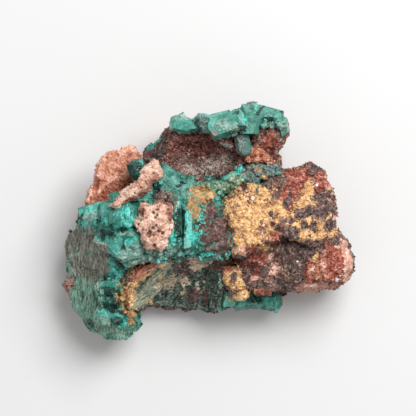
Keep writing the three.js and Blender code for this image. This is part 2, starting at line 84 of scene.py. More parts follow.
# Stains, and patches of painted light and painted shade, as seen from above: x and y of each patch, its two
# half-widths, and its turn in degrees where it has one.
ROCK_STAINS = {
    "limonite": [
        (9.3, 1.5, 5.2, 4), (11.8, 5.9, 2.9, 1.5), (10.1, 7.3, 1.3, 0.8), (16.4, 1.5, 1.7, 1),
        (6.7, -4, 1.5, 2.5), (10.1, -3.4, 2.7, 1.7), (13, -2.1, 1.7, 0.8, 30), (21.6, 7.5, 0.8, 1.5),
        (21.4, 5.4, 1.3, 1.7), (20.2, 3.8, 2.1, 1, 20), (22.9, 3.8, 1, 0.6), (18.9, -0.8, 1.5, 1),
        (21.4, -0.4, 1, 1.3), (23.7, -0.6, 1.3, 1.3), (20.4, -2.7, 1.7, 1.3), (23.3, -2.5, 2.3, 1.3),
        (26, -2.1, 1, 1.5), (25.4, 1.3, 0.6, 1), (22.9, -7.8, 0.4, 1, -20), (5.5, -11.3, 1.9, 1.9),
        (7, -13, 1.3, 1.5), (7.6, -15.3, 1.7, 1), (13.5, -15.3, 1, 0.4), (4.9, -8.6, 0.8, 0.6),
        (12, -5.5, 1.3, 0.8), (-16.6, -15.5, 1.8, 2.5), (-15.9, -19.1, 0.8, 2.1),
        (-15.5, -10.1, 0.8, 1.3), (14.3, 2.7, 2.3, 1.5),
    ],
    "oxide": [
        (20.6, 1.5, 2.1, 0.9, 25), (25.2, 3.4, 1.7, 2.1), (23.1, 5, 1, 0.8), (26, 5, 1, 1.3),
        (24.4, 1.5, 1, 0.8), (25.8, -0.4, 1, 1.5), (22.5, -1.3, 0.8, 1.5), (20.4, -0.8, 0.6, 1),
        (17.9, 0, 0.6, 0.5), (13.5, 1.7, 0.4, 0.6), (15.8, 7.8, 0.8, 0.8), (14.9, 5, 0.5, 0.8),
        (17.6, 5, 0.4, 1.3), (16.8, 4, 0.6, 0.8), (23.1, 2.3, 0.8, 0.6), (18.9, -2.7, 0.6, 1.3),
        (17, -2.5, 1.3, 1.3), (26.7, -4.2, 1.3, 0.8), (16.6, -6.1, 2.5, 1.9), (19.7, -6.1, 2.5, 2.1),
        (22.3, -5.5, 2.3, 1.3), (17.6, -8.6, 2.5, 1.3), (20.6, -7.8, 1.3, 1.5), (18.9, -10.3, 1.9, 1),
        (19.3, -11.7, 1, 1.3), (16.6, -13, 2.5, 1), (11.4, -13.2, 1.9, 0.7), (8.6, -11.5, 0.8, 1.3),
        (12.2, -11.1, 0.8, 1.3), (22.5, 10.9, 1, 0.6), (23.7, 10.9, 0.8, 0.8), (-10.4, 14.5, 1.7, 1.7),
        (-11.7, 13.6, 1.3, 1), (-8.8, 17, 1, 1.3), (-7.1, -18.5, 7.5, 0.7), (-0.2, -18.5, 3.8, 0.8),
        (5.9, -11.7, 0.8, 0.8),
    ],
    "hematite": [
        (19.1, 9.2, 2.5, 2.1), (18.1, 6.5, 2.3, 1.9), (16.4, 5.2, 1.5, 1.7), (17.9, 3.1, 1, 1),
        (20.6, 10.3, 1.7, 1.3), (23.9, 7.1, 1, 1), (11.1, -7.6, 2.1, 1.5), (10.1, -6.3, 1.5, 0.8),
        (16.4, -1.7, 0.8, 0.8), (13.9, -3.1, 1.7, 0.8), (26.7, -7.1, 2.1, 2.7), (25.6, -5.5, 1.3, 1.3),
        (27.1, -10.3, 2.1, 2.3), (22.3, -10.9, 1.7, 1.9), (21.8, -9, 1, 1), (11.8, -14.7, 2.9, 0.6),
        (21.8, -13.4, 4.2, 0.7), (24.4, -9.9, 1.9, 2.3), (13.5, 16.3, 1.7, 1.9), (15.3, 13.8, 0.8, 1),
        (19.1, -13.2, 1.3, 0.8), (23.7, 9, 1.3, 1.3), (-13.6, -9.4, 2.1, 1, 30), (21.8, 12.2, 1.5, 0.6),
    ],
    "rose": [
        (7.2, -6.9, 1.5, 0.8), (27.9, -4.6, 1, 1), (29, -6.5, 0.7, 1.9, 15), (29.2, -11.7, 0.8, 1.3),
        (14.9, -9.6, 1, 0.8), (14.1, -10.7, 1, 0.6), (13.5, -7.3, 0.8, 0.8), (27.1, -0.2, 0.8, 1.5),
        (25.1, 9.6, 0.4, 1.3), (25.6, 7.1, 0.8, 0.8), (10.1, -12, 1, 0.5), (11.1, -15.5, 1.3, 0.4),
        (24.4, -9.4, 0.8, 1), (13, 11.1, 1, 1.3), (7.2, -5.2, 0.8, 2.1), (19.1, -9.2, 1, 0.6),
        (12.6, -12.6, 0.8, 0.4), (26.2, 5.2, 0.5, 1.3), (24.6, 11.9, 0.8, 0.6), (19.7, 12.8, 1.7, 0.5),
        (22.9, -10.5, 1.3, 1.5), (22.3, -13.6, 5, 0.8), (29.2, -8.6, 0.8, 2.9),
    ],
    # Partly painted shade, dark plum red under overhangs and in recesses, and partly the rock's own dark
    # plum red.
    "shade": [
        (6.7, -8.8, 1.7, 1), (9.3, -9.4, 1.9, 1), (10.9, -10.3, 1.5, 1), (8.2, -7.8, 1.3, 0.8, 40),
        (8.2, -10.9, 0.8, 1.3), (7.8, 7.3, 1.3, 1.5), (6.7, 5.9, 1.3, 0.8), (22.3, 10.3, 1.5, 0.9),
        (9.3, 8.4, 1.3, 1), (10.5, -11.5, 1.7, 0.8), (14.7, -4.6, 1.7, 0.8), (-10.9, 14.5, 2.5, 2.3),
        (-8.6, 17.4, 1.7, 1.5), (13.9, 14.5, 1.3, 1.3), (13.5, 13.8, 1.7, 1.3), (9.7, -9.9, 1.7, 1.3),
    ],
    "knobs": [
        (10.3, 13.6, 1.9, 1.5), (12.4, 13, 1.3, 1.3), (9.1, 14.5, 0.8, 1), (14.1, 11.7, 1.3, 1),
        (4.9, -10.3, 0.8, 0.8), (23.5, -10.7, 1, 1.5),
    ],
    "greenbit": [
        (12.6, 10.3, 1.5, 1.5), (11.1, 8.8, 1.3, 0.7), (12.4, 7.5, 0.9, 0.8), (10.7, 6.1, 0.3, 0.8),
        (9.1, 10.9, 1.7, 1), (30, -8.6, 0.3, 0.6),
    ],
    "verdigris": [
        (-10.7, 16.1, 4, 0.3, 46), (16, 11.9, 0.4, 1.5, 15), (11.8, 9.6, 0.8, 0.4),
        (9.3, -15.9, 2.9, 0.3),
    ],
    "white": [
        (9.8, 4.8, 0.3, 0.5), (23.1, 7.6, 0.2, 0.3), (19.3, -8.4, 0.3, 0.2), (27.4, -12.2, 0.3, 0.4),
        (27.9, -11.3, 0.2, 0.2),
    ],
}
DIOPTASE_STAINS = {
    "dust": [
        (-25.5, -4.6, 2.7, 3.1, -10), (-23.4, -9.4, 2.5, 3.6, -12), (-26.6, -8.6, 1.9, 3.4),
        (-27.6, -2.3, 1.5, 1.7), (-22.2, -6.1, 1.9, 1.7, -20), (-21.6, -9, 1.7, 2.5),
        (-28.9, -5.7, 1, 4.2, -8),
    ],
    "moss": [
        (-25.5, -17.4, 3.8, 4), (-27.8, -16.1, 1.9, 5), (-25.5, -13.2, 2.5, 2.1),
        (-18.4, -23.1, 3.4, 1.3), (-21.8, -21.6, 1.7, 1.7), (-23.9, -13.2, 2.1, 1.3),
    ],
    # Partly painted highlight, turquoise lines and spots where edges catch the light, and partly real
    # bruising.
    "bright": [
        (-6.9, -1.5, 0.6, 4.2), (-4.2, 1, 0.5, 2.5, 15), (-2.7, -2.7, 1.5, 1.9), (-1.2, -0.2, 0.4, 2.5),
        (-19.5, -8.8, 0.6, 2.7), (-18, -11.3, 1.7, 0.6, 40), (-17.2, 1.7, 1.9, 0.8, 20),
        (-16.3, -0.4, 1.3, 1.3, 40), (-16.5, -1.8, 1.5, 0.3), (-15.7, -4.4, 1.5, 0.6, 20),
        (-12.3, -8, 0.6, 0.3), (-19.3, -7.3, 0.8, 0.8), (-25.3, -0.6, 1, 0.8), (1.1, 20.3, 0.5, 0.5),
        (8.2, 21.4, 0.4, 0.6), (10.5, 24.5, 0.3, 0.8), (-0.6, -6.9, 5.9, 0.4), (-24.3, -16.1, 0.8, 1.3),
        (-25.1, -8.6, 0.4, 2.5, 60), (-12.5, -1.1, 0.4, 2.5), (-16.3, -9.9, 1, 1.3),
        (-18, -20.8, 1.9, 1, 35), (-22.6, -19.7, 0.8, 1.5), (-7.1, -5.9, 0.8, 1.5),
        (-18.4, 3.1, 1.5, 0.8), (-11.7, -7.8, 1.7, 0.5), (-21.3, -5.5, 2.5, 0.3, -50),
        (6.5, 10.3, 1.3, 0.8, 45), (-28.5, -7.8, 0.5, 3.8, -10), (-20.5, -22.9, 1.7, 0.4, 10),
        (-18, -6.1, 0.5, 1.9, 35), (-24.3, 1.9, 1.9, 0.8), (-22.2, -0.2, 1, 1.3),
        (-10.2, 7.8, 0.8, 1.7, 20),
    ],
    "rust": [
        (-16.7, -15.5, 1.7, 2.9), (-15.7, -19.3, 0.9, 2.3), (-15.7, -10.7, 0.9, 1.5),
        (-1.6, 6.3, 2.1, 1.3), (-0.8, 4.6, 1.9, 1.3), (-2.3, 2.3, 1.3, 1.9), (0.9, 5.7, 1.5, 1),
        (-3.1, 3.4, 1, 1.3), (5.9, -16.1, 0.6, 0.6), (11.1, 10.7, 0.8, 0.6, 20), (12.2, 9.2, 0.6, 0.6),
        (9.5, 11.1, 0.4, 0.4),
    ],
    "nodule": [
        (2.1, -2.7, 3.4, 4.6), (0.9, 1.5, 1.7, 2.1), (3.6, -0.2, 1.7, 1.7),
    ],
    "rustred": [
        (-29.3, -13.2, 1, 2.5), (-28.1, -12.8, 0.8, 1.3), (-13.6, -9.2, 2.3, 0.8, 25),
    ],
    "smooth": [
        (-7.5, 9, 3.6, 4, 30), (-5, 6.5, 3.1, 1.9), (-10, 11.1, 1.9, 1.9), (9.5, 22.2, 1.7, 2.1),
        (13.5, 22.8, 1.7, 0.8),
    ],
    # Partly the crystal's deep green and partly painted shade, darkest in gaps and on faces away from the
    # light.
    "deep": [
        (-19.9, -2.1, 1, 1.7, 10), (-20.9, -14.9, 2.5, 1.3), (-20.1, -17.4, 2.9, 1.5),
        (-16.7, -18.9, 1.5, 1.3), (-22.6, 0.6, 0.6, 1.3), (-17.6, -1.9, 1.3, 0.8), (-10, 6.5, 1, 1.3),
        (1.3, 1, 1.3, 1.3), (-5.4, -0.2, 1.3, 3.4), (-21.6, -2.3, 0.8, 2.1), (-15.3, 11.1, 1.7, 1.5),
        (-23.9, -21.2, 1.5, 0.6, -30), (-19.7, -22, 1.9, 0.6, 20), (-28.5, -16.6, 0.4, 1.7, -10),
        (10.3, -16.6, 2.5, 0.8), (-1.2, 20.3, 1.3, 1.7), (7.2, 19.1, 1.5, 1, 20), (-18, -8.6, 0.8, 1),
        (-18.6, -20.8, 1.3, 0.8), (-26.2, 0.4, 0.3, 1.3, -20), (6.1, 18.2, 2.5, 0.7, -25),
        (5.9, 16.1, 0.5, 1.9), (-2.5, 18.9, 1.3, 0.6), (13, 21.4, 1.3, 0.4), (6.5, 22.8, 0.5, 0.6),
        (-5.8, 7.3, 0.8, 0.4, 10), (-3.7, 6.5, 0.8, 0.3), (-4.8, 8, 0.8, 0.3, -10),
        (-22.2, -20.5, 1.3, 0.6), (-19.5, -18.5, 1.5, 0.8), (11.4, 23.3, 0.4, 1.3, -35),
        (13.7, 21, 1, 0.5, 20), (16, 22.8, 0.6, 0.4),
    ],
    "umber": [
        (-8.8, 4.8, 2.5, 1.3), (-11.3, -7.6, 1, 0.4), (-7.5, 3.4, 1, 1.7),
    ],
    "shelf": [
        (-13.8, -6.5, 5, 1.7), (-8.6, -6.1, 4.2, 1.3), (-16.3, -7.3, 2.5, 1.5), (4.2, 16.2, 1.3, 0.6),
        (14.5, 19.9, 2.1, 0.8), (-4.6, 21.6, 2.1, 0.5), (2.6, 23.3, 2.9, 0.4, 12),
        (-16.3, -2.7, 1.9, 0.5), (-17.2, -5.9, 1.7, 0.4, -5), (-23.9, 1, 1.9, 1, 20),
        (16.4, 19.9, 1, 1.7), (-3.7, 22.2, 2.3, 1, 10), (4.2, 19.9, 2.7, 1.3, -12),
    ],
    "olive": [
        (5.5, 7.3, 2.7, 1.3), (1.9, 7.3, 2.5, 0.8), (6.3, 8.6, 1.5, 1.5), (5.1, -15.1, 1.7, 1.7),
    ],
    "slate": [
        (11.8, 10.3, 3.4, 2.1), (13.5, 11.5, 2.5, 1.3), (9.3, 10.3, 1.7, 1.9), (7.4, 15.9, 1.5, 2.5),
        (9.3, 24.7, 1.4, 0.7), (-0.6, 20.5, 0.7, 1.7), (1.5, 18, 1.3, 1, 20), (5.1, -14.5, 1.7, 1.5),
    ],
}
ALCOVE_STAINS = {
    "band_red": [
        (-13.6, -10.1, 2.3, 1.3, 30), (-15.3, -11.7, 1.3, 1.5, 45), (-11.3, -8.8, 2.1, 1, 20),
        (-16.1, -13, 0.6, 0.8), (-9.6, -8.8, 1.7, 0.6, 20),
    ],
    "band_ochre": [
        (-12.8, -11.5, 2.1, 0.5, 38), (-16.6, -15.5, 1.9, 2.5), (-16.1, -18.2, 0.5, 1.3),
        (-15.5, -19.9, 0.7, 1.5, -20), (-15.5, -9.9, 0.7, 1), (-9, -9, 0.8, 0.6, 20),
        (-11.5, -17, 0.3, 0.8, 25), (-15.1, -13.4, 1, 0.8), (-9.6, -11.7, 0.4, 0.5),
        (-4.9, -15.1, 0.5, 0.4), (-1.6, -14.2, 0.5, 0.2),
    ],
    "band_grey": [
        (-12.3, -14.5, 3.6, 1, 42), (-13.4, -16.6, 2.5, 1.3, 42), (-9.6, -10.9, 2.7, 0.8, 38),
        (-8.4, -9, 1.3, 1, 20), (-10.9, -14.9, 2.1, 0.5, 42),
    ],
    "crumb": [
        (-1.6, -9, 1.8, 1.3), (-3.1, -8.2, 0.6, 0.6), (-4.5, -12.3, 1, 0.7), (-7.9, -13.2, 1.3, 0.6),
        (-6.5, -12.2, 0.5, 0.3), (-5.4, -9.5, 0.3, 0.3), (-4.7, -13.6, 0.3, 0.3),
        (-1.9, -13.2, 0.4, 0.5), (-0.4, -12.7, 0.3, 0.3), (-10.2, -13.6, 0.7, 0.3, 30),
        (-3.5, -12.8, 0.4, 0.4), (1.1, -8.4, 0.6, 0.2),
    ],
    "plum": [
        (-4.6, -9.4, 2.1, 1.3), (-4.2, -10.9, 1.7, 0.8), (1.7, -9.4, 1.7, 1), (-2.7, -15.5, 1.4, 1.3),
        (-0.2, -16.1, 0.8, 1.7), (-9.6, -14.5, 1, 0.5),
    ],
    # Painted light: paler where the crust is meant to look lit.
    "lit": [
        (-7.5, -12.4, 2.5, 1.3, 30),
    ],
}
HOLLOW_STAINS = {
    "ledge": [
        (-0.4, 11.1, 6.7, 1.9), (-4.6, 12.4, 3.4, 1.7, -20), (3.4, 12.8, 2.5, 1.9, 30),
    ],
    # Partly a dark grey-brown coating and partly painted shade under the crest's overhang and the lip.
    "dark_coat_and_shade": [
        (-10.4, 14.5, 1.9, 1.9), (-8.8, 16.6, 1.3, 1.3), (1.7, 9.4, 3.4, 0.6), (5.5, 13.2, 0.8, 1.7),
    ],
    "chip": [
        (4.2, 16.1, 1.3, 0.5, -10),
    ],
    # Painted light: paler where the ledge is meant to look lit.
    "lit": [
        (2.1, 11.7, 4.2, 1.7, 15), (-2.9, 10.7, 2.1, 1),
    ],
}
# Painted shade on the calcite, browner and darker: the plate's lower side under the ridge, and the sides of
# the ridge and of the patch that face away from the light.
CALCITE_SHADED_FLANKS = {
    "plate": [
        (-18.8, 6.7, 3.4, 1.7, 30), (-22, 4.4, 3.1, 1.9, 30), (-23, 6.9, 0.7, 2.5),
        (-20.9, 4.8, 2.5, 1.7, 20), (-22.2, 3.8, 2.1, 1.7, 30),
    ],
    "ridge": [
        (-10.9, 8, 1, 1), (-13, 5.9, 1.5, 0.8, 35), (-15.9, 4.4, 1.7, 0.5, 25),
    ],
    "patch": [
        (-7.9, 3.8, 1, 0.8, -30), (-13.2, 1.7, 0.3, 1.3), (-7.5, 1.9, 0.5, 2.1),
        (-8.8, 4.4, 1.7, 0.7, -20),
    ],
}

# The pale calcite's main holes.
PATCH_HOLES = [
    (-13.5, 2, 0.5, 0.7), (-11.9, -2.7, 0.4, 0.7, -10), (-13.6, -4.8, 0.3, 0.5), (-10.2, 2.5, 0.4, 0.3),
    (-9, -2.5, 0.4, 0.3), (-10.9, -5.2, 0.4, 0.3),
]

# Where a lip of ochre stands up beside the lower hollow.
OCHRE_LIP = [(-16.6, -15.7, 0.7, 2.5, 5), (-15.9, -13, 0.6, 1.3, -20)]

# Steep faces that are stained as they are seen from above, and rims that are so near the top.
STEEP_SEEN = [
    (-11.7, -18.5, 2.5, 1), (-7.1, -18.9, 4.2, 1.3), (-0.2, -18.9, 4.6, 1.3), (-16.6, -15.5, 1.9, 2.9),
    (-15.5, -10.3, 1.5, 1.7, 40), (-12.8, -8.6, 2.5, 1, 20),
]
RIM_SEEN = [
    (22.3, -13.8, 5.5, 1), (29.6, -8.6, 1.3, 3.4), (27.1, -0.8, 1.3, 2.1), (-28.7, -6.1, 1.5, 6.3, -8),
    (-27.6, -17.6, 1.9, 5.5, 20),
]

# The main crystals, the same ones as the solids have: x, y, z of the middle, bearing and lean of
# the axis, length, radius, roll, in millimetres and degrees.
MASS_CRYSTALS = [
    (-23.6, 0.2, 19.8, 112, 52, 7.4, 2.9, 0), (-20.8, 1.2, 22.4, 70, 46, 6.4, 2.2, 20),
    (-19.8, -3.2, 25.2, 250, 36, 8, 3.4, 10), (-16.8, 0.4, 26, 35, 62, 7.4, 3, 30),
    (-15.6, -3.8, 26.2, 300, 50, 6, 2.4, 0), (-16, -6.6, 25.4, 15, 80, 6.6, 1.9, 30),
    (-14, 10, 20.8, 130, 32, 7, 2.1, 0), (-18.6, 3.4, 21.2, 100, 40, 6, 1.7, 0),
    (-12.6, 5.2, 25, 60, 60, 4.8, 1.9, 30), (-13.2, 2.4, 26, 200, 65, 4.8, 1.6, 0),
    (-6, 0.4, 26.8, 92, 84, 8.4, 1.4, 30), (-3.9, -1.8, 26.6, 88, 86, 9.2, 1.5, 30),
    (-21.2, -14.4, 19.8, 2, 76, 5, 1.7, 30), (-20.6, -16.6, 19.4, 12, 78, 4.6, 1.5, 0),
    (-19.4, -19.2, 18.2, 330, 62, 5, 2.1, 0), (-21.4, -19.8, 17.2, 238, 50, 5.4, 2.4, 10),
]
CREST_CRYSTALS = [
    (4.1, 19.6, 27, 20, 80, 8.8, 2.3, 30), (8.9, 20.8, 25.8, 72, 64, 7.2, 2.6, 30),
    (9.4, 23, 23.8, 95, 45, 3.4, 1.3, 0), (12.9, 21.8, 24.2, 165, 78, 6.4, 1.5, 30),
    (14.8, 20.4, 22.8, 330, 58, 4.6, 1.6, 0), (15.3, 19.1, 20.8, 330, 60, 4, 1.5, 30),
    (-5.1, 19.7, 24.8, 168, 76, 5.8, 1.7, 30), (-1.8, 20, 25.2, 40, 64, 4.6, 1.5, 30),
    (0.2, 19.4, 25.2, 230, 62, 3.8, 1.4, 0), (1.6, 20.9, 25.2, 14, 84, 7.4, 1.1, 30),
    (7.4, 15.8, 24.2, 280, 70, 5.4, 1.6, 30), (-5.2, 19.8, 21.2, 128, 58, 5, 1.9, 0),
    (-0.8, 20, 19.4, 80, 74, 4.6, 1.8, 0), (3.6, 20, 21, 108, 50, 5.4, 2.2, 0),
    (11.8, 20.2, 20.4, 98, 56, 4.8, 2, 0), (14.2, 19.6, 17.8, 50, 68, 4.4, 1.7, 0),
]
FOOT_CRYSTALS = [
    (5, -15.7, 12.4, 80, 62, 6, 2.4, 30), (8, -17, 10.8, 12, 80, 6.4, 2, 30),
    (12.4, -17, 10.6, 355, 84, 6.4, 1.8, 30), (2.4, -17.2, 9, 245, 60, 4.6, 1.8, 0),
]


# ---- noise on whole arrays ----------------------------------------------------------------------
def scramble(cell, seed):
    """A repeatable number from 0 to 1 for each row of three whole numbers: each is multiplied by
    its own large prime, their bits are mixed by exclusive or, and the last 24 bits are kept."""
    x, y, z = cell.astype(np.int64).T
    last_32, last_24 = 0xFFFFFFFF, 0xFFFFFF
    mixed = (x * 73856093 ^ y * 19349663 ^ z * 83492791 ^ seed * 2654435761) & last_32
    mixed = ((mixed ^ (mixed >> 13)) * 1274126177) & last_32
    return (((mixed ^ (mixed >> 16)) & last_24) / last_24).astype(np.float32)


def ripple(place, size, seed):
    """Smooth noise from -1 to 1: each place takes the eight scrambled corners of its cell of that
    size, weighted by the fifth-power ease of its offset from each along X, Y and Z."""
    cell = np.floor(place / size)
    offset = place / size - cell
    ease = offset**3 * (offset * (offset * 6 - 15) + 10)
    total = np.zeros(len(place), np.float32)
    for corner in itertools.product((0, 1), repeat=3):
        weight = np.prod(np.where(corner, ease, 1 - ease), axis=1)
        total += weight * scramble(cell + corner, seed)
    return 2 * total - 1


def rough(place, size, octaves, seed):
    """Fractal noise: ripples of halving size and height, each on axes turned from the last."""
    turn = np.array([[0.6, 0.64, 0.48], [-0.8, 0.48, 0.36], [0.0, -0.6, 0.8]])
    total = np.zeros(len(place), np.float32)
    for octave in range(octaves):
        total += ripple(place, size / 2**octave, seed + octave) / 2**octave
        place = place @ turn
    return total


def streaks(place, bearing, across, along, seed):
    """Ripples drawn out along a bearing: the plan is turned until the bearing lies on X, then X is
    counted in steps of the length along and the rest in steps of the width across."""
    angle = np.radians(bearing)
    x, y, z = place.T
    ahead = (x * np.cos(angle) + y * np.sin(angle)) / along
    aside = (y * np.cos(angle) - x * np.sin(angle)) / across
    return ripple(np.stack([ahead, aside, z / across], axis=1), 1.0, seed)


def cells(place, size, seed):
    """Jittered cells: each place finds, among the 27 cells about it, the nearest scrambled seed.
    Gives its distance, how much further the second nearest is, the offset from it, and the number
    of its cell."""
    point = place / size
    home = np.floor(point)
    beyond_all = 9.0
    near = np.full(len(place), beyond_all, np.float32)
    second = near.copy()
    offset = np.zeros((len(place), 3), np.float32)
    number = near.copy()
    for step in itertools.product((-1, 0, 1), repeat=3):
        cell = home + step
        jitter = np.stack([scramble(cell, seed + axis) for axis in range(3)], axis=1)
        away = point - cell - jitter
        distance = np.sqrt((away * away).sum(axis=1))
        closer = distance < near
        second = np.where(closer, near, np.minimum(second, distance))
        near = np.where(closer, distance, near)
        offset[closer] = away[closer]
        number[closer] = scramble(cell[closer], seed + 3)
    return near * size, (second - near) * size, offset * size, number


def chips(place, size, seed):
    """Flat broken faces: each jittered cell is a plane through its seed, tilted in its own
    direction, and the height is the offset from the seed along that direction. Also the distance
    to the cell's edge and the cell's number. Forty times the number is the direction's bearing in
    radians, and what seventeen times it has past a whole number sets how far it points up."""
    _, rim, offset, number = cells(place, size, seed)
    bearing = number * 40.0
    up = np.modf(number * 17.0)[0] * 2 - 1
    flat = np.sqrt(1 - up * up)
    tilt = np.stack([flat * np.cos(bearing), flat * np.sin(bearing), up], axis=1)
    return (offset * tilt).sum(axis=1), rim, number


def ramp(value, low, high):
    """Rises smoothly from 0 at low to 1 at high."""
    share = np.clip((value - low) / (high - low), 0, 1)
    return share * share * (3 - 2 * share)


def stain(place, patches):
    """How far inside a stain each place is, seen from above: half on the rim of an elliptical
    patch, 0.8 more in its middle and 0 well outside, by the distance from its middle in
    half-widths. The plan position grows with height as the overhead view makes it."""
    reach = CAMERA_RISE / (CAMERA_RISE - (place[:, 2] - FOCUS_HEIGHT))
    plan = CAMERA_PLAN + (place[:, :2] - CAMERA_PLAN) * reach[:, None]
    best = np.zeros(len(place), np.float32)
    for x, y, half_width, half_height, *turn in patches:
        angle = np.radians(sum(turn))
        across, along = (plan - (x, y)).T
        u = (across * np.cos(angle) + along * np.sin(angle)) / half_width
        v = (along * np.cos(angle) - across * np.sin(angle)) / half_height
        best = np.maximum(best, 0.5 + 0.8 * (1 - np.hypot(u, v)))
    return best


# ---- meshes -------------------------------------------------------------------------------------
def coordinates(mesh):
    """The mesh's points, in millimetres, and their normals, as arrays."""
    points = np.empty(len(mesh.vertices) * 3, np.float32)
    normals = points.copy()
    mesh.vertices.foreach_get("co", points)
    mesh.vertices.foreach_get("normal", normals)
    return points.reshape(-1, 3).astype(np.float64) / MM, normals.reshape(-1, 3)


def even_copy(node, edge):
    """A copy of a node's solid, its doubles merged and its faces made anew as even quads."""
    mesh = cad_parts[node].data.copy()
    welded = bmesh.new()
    welded.from_mesh(mesh)
    bmesh.ops.remove_doubles(welded, verts=welded.verts, dist=WELD * MM)
    welded.to_mesh(mesh)
    welded.free()
    solid = bpy.data.objects.new(node + "_solid", mesh)
    bpy.context.scene.collection.objects.link(solid)
    even = solid.modifiers.new("even", "REMESH")
    even.mode = "VOXEL"
    even.voxel_size = edge * MM
    seen = solid.evaluated_get(bpy.context.evaluated_depsgraph_get())
    fine = bpy.data.meshes.new_from_object(seen)
    bpy.data.objects.remove(solid)
    return fine


def attach(mesh, values, domain="POINT"):
    """Stores each named array on the mesh's points or faces, for its material to read."""
    for name, value in values.items():
        layer = mesh.attributes.new(name, "FLOAT", domain)
        layer.data.foreach_set("value", np.asarray(value, np.float32))


def finish_piece(name, mesh, materials, smooth=True):
    """Puts a mesh into the scene as a piece that rides on the specimen."""
    mesh.name = name
    piece = bpy.data.objects.new(name, mesh)
    bpy.context.scene.collection.objects.link(piece)
    mesh.materials.clear()
    for material in materials:
        mesh.materials.append(material)
    mesh.polygons.foreach_set("use_smooth", np.full(len(mesh.polygons), smooth))
    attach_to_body(piece, "root")
    return piece


def relief(mesh, points, normals, height):
    """Moves each point along its normal by its height, in millimetres, less near the flat base and
    not at all within its lowest twentieth of a millimetre."""
    fade = ramp(points[:, 2], 0.05, BASE_FADE)
    moved = points + normals * (height * fade)[:, None]
    mesh.vertices.foreach_set("co", (moved * MM).astype(np.float32).ravel())
    mesh.update()
    return moved


def crystal_frames(rows):
    """Middle, axis, two cross axes, half length and radius of each crystal row. The axis is
    (sin lean cos bearing, sin lean sin bearing, cos lean), and the cross axes are X and Z rolled
    about Y and then turned by the shortest turn that brings Y to the axis."""
    x, y, z, bearing, lean, length, radius, roll = np.array(rows, float).T
    middle = np.stack([x, y, z], axis=1) * DRAWN_SCALE + DRAWN_SHIFT
    bearing, lean, roll = np.radians((bearing, lean, roll))
    axis = np.stack(
        [np.sin(lean) * np.cos(bearing), np.sin(lean) * np.sin(bearing), np.cos(lean)], axis=1
    )
    turn = np.cross([0.0, 1.0, 0.0], axis)
    closing = 1 + axis[:, 1:2]

    def turned(start):
        once = np.cross(turn, start)
        return start + once + np.cross(turn, once) / closing

    level = np.zeros(len(roll))
    across = turned(np.stack([np.cos(roll), level, -np.sin(roll)], axis=1))
    beside = turned(np.stack([np.sin(roll), level, np.cos(roll)], axis=1))
    return middle, axis, across, beside, length / 2, radius


def prism_mesh(name, middle, axis, across, beside, half, radius, taper=1.0):
    """Six-sided crystals in one mesh. Corner k of each end ring stands at its radius and k·60°
    between the cross axes, one or two tip drops below the tip by turns, which keeps the three end
    faces flat; the tips stand on the axis at half the length. The upper ring is drawn in by taper."""
    angle = np.radians(60 * np.arange(6))
    ring = across[:, None] * np.sin(angle)[:, None] + beside[:, None] * np.cos(angle)[:, None]
    ring = ring * radius[:, None, None]
    drop = TIP_DROP * radius[:, None, None] * np.where(np.arange(6) % 2, 2, 1)[:, None]
    rise = TIP_DROP * radius[:, None, None] * np.where(np.arange(6) % 2, 1, 2)[:, None]
    axis, centre = axis[:, None], middle[:, None]
    half = half[:, None, None]
    top = centre + ring * taper + axis * (half - drop)
    bottom = centre + ring - axis * (half - rise)
    tips = np.concatenate([centre + axis * half, centre - axis * half], axis=1)
    points = np.concatenate([top, bottom, tips], axis=1)
    sides = [(k, k + 6, (k + 1) % 6 + 6, (k + 1) % 6) for k in range(6)]
    upper = [(12, (k + 5) % 6, k, (k + 1) % 6) for k in (1, 3, 5)]
    lower = [(13, (k + 1) % 6 + 6, k + 6, (k + 5) % 6 + 6) for k in (0, 2, 4)]
    return repeated(name, points, sides + upper + lower)


def repeated(name, points, faces):
    """One mesh of many like shapes: points is shape by corner by XYZ, in millimetres, and every
    shape has the same faces."""
    shapes, corners = points.shape[:2]
    first = np.arange(shapes)[:, None] * corners
    loops = [(first + np.array(face)).tolist() for face in faces]
    mesh = bpy.data.meshes.new(name)
    mesh.from_pydata((points.reshape(-1, 3) * MM).tolist(), [], sum(loops, []))
    mesh.update()
    outward = bmesh.new()
    outward.from_mesh(mesh)
    bmesh.ops.recalc_face_normals(outward, faces=outward.faces)
    outward.to_mesh(mesh)
    outward.free()
    return mesh


def within(points, rows, margin):
    """True for each point inside one of the crystals grown by the margin: its offset from the
    middle is less than half the length along the axis, and less than the sides' distance along all
    three side normals."""
    inside = np.zeros(len(points), bool)
    for middle, axis, across, beside, half, radius in zip(*crystal_frames(rows)):
        offset = points - middle
        along = np.abs(offset @ axis) < half + margin
        for angle in np.radians((30, 90, 150)):
            side = across * np.sin(angle) + beside * np.cos(angle)
            along &= np.abs(offset @ side) < radius * np.cos(np.radians(30)) + margin
        inside |= along
    return inside


def shade_by_tilt(number, up):
    """A face's shade, from 0 for deep to 1 for hazed: half its own random number, and half painted light,
    paler the further the face looks up."""
    return 0.5 * number + 0.5 * ramp(up, -0.2, 1.0)


def face_tones(mesh, seed):
    """Gives each face of a mesh its shade, part random and part painted light by its tilt."""
    numbers = np.random.default_rng(seed).uniform(0, 1, len(mesh.polygons))
    up = np.empty(len(mesh.polygons) * 3, np.float32)
    mesh.polygons.foreach_get("normal", up)
    attach(mesh, {"facet": shade_by_tilt(numbers, up[2::3])}, "FACE")


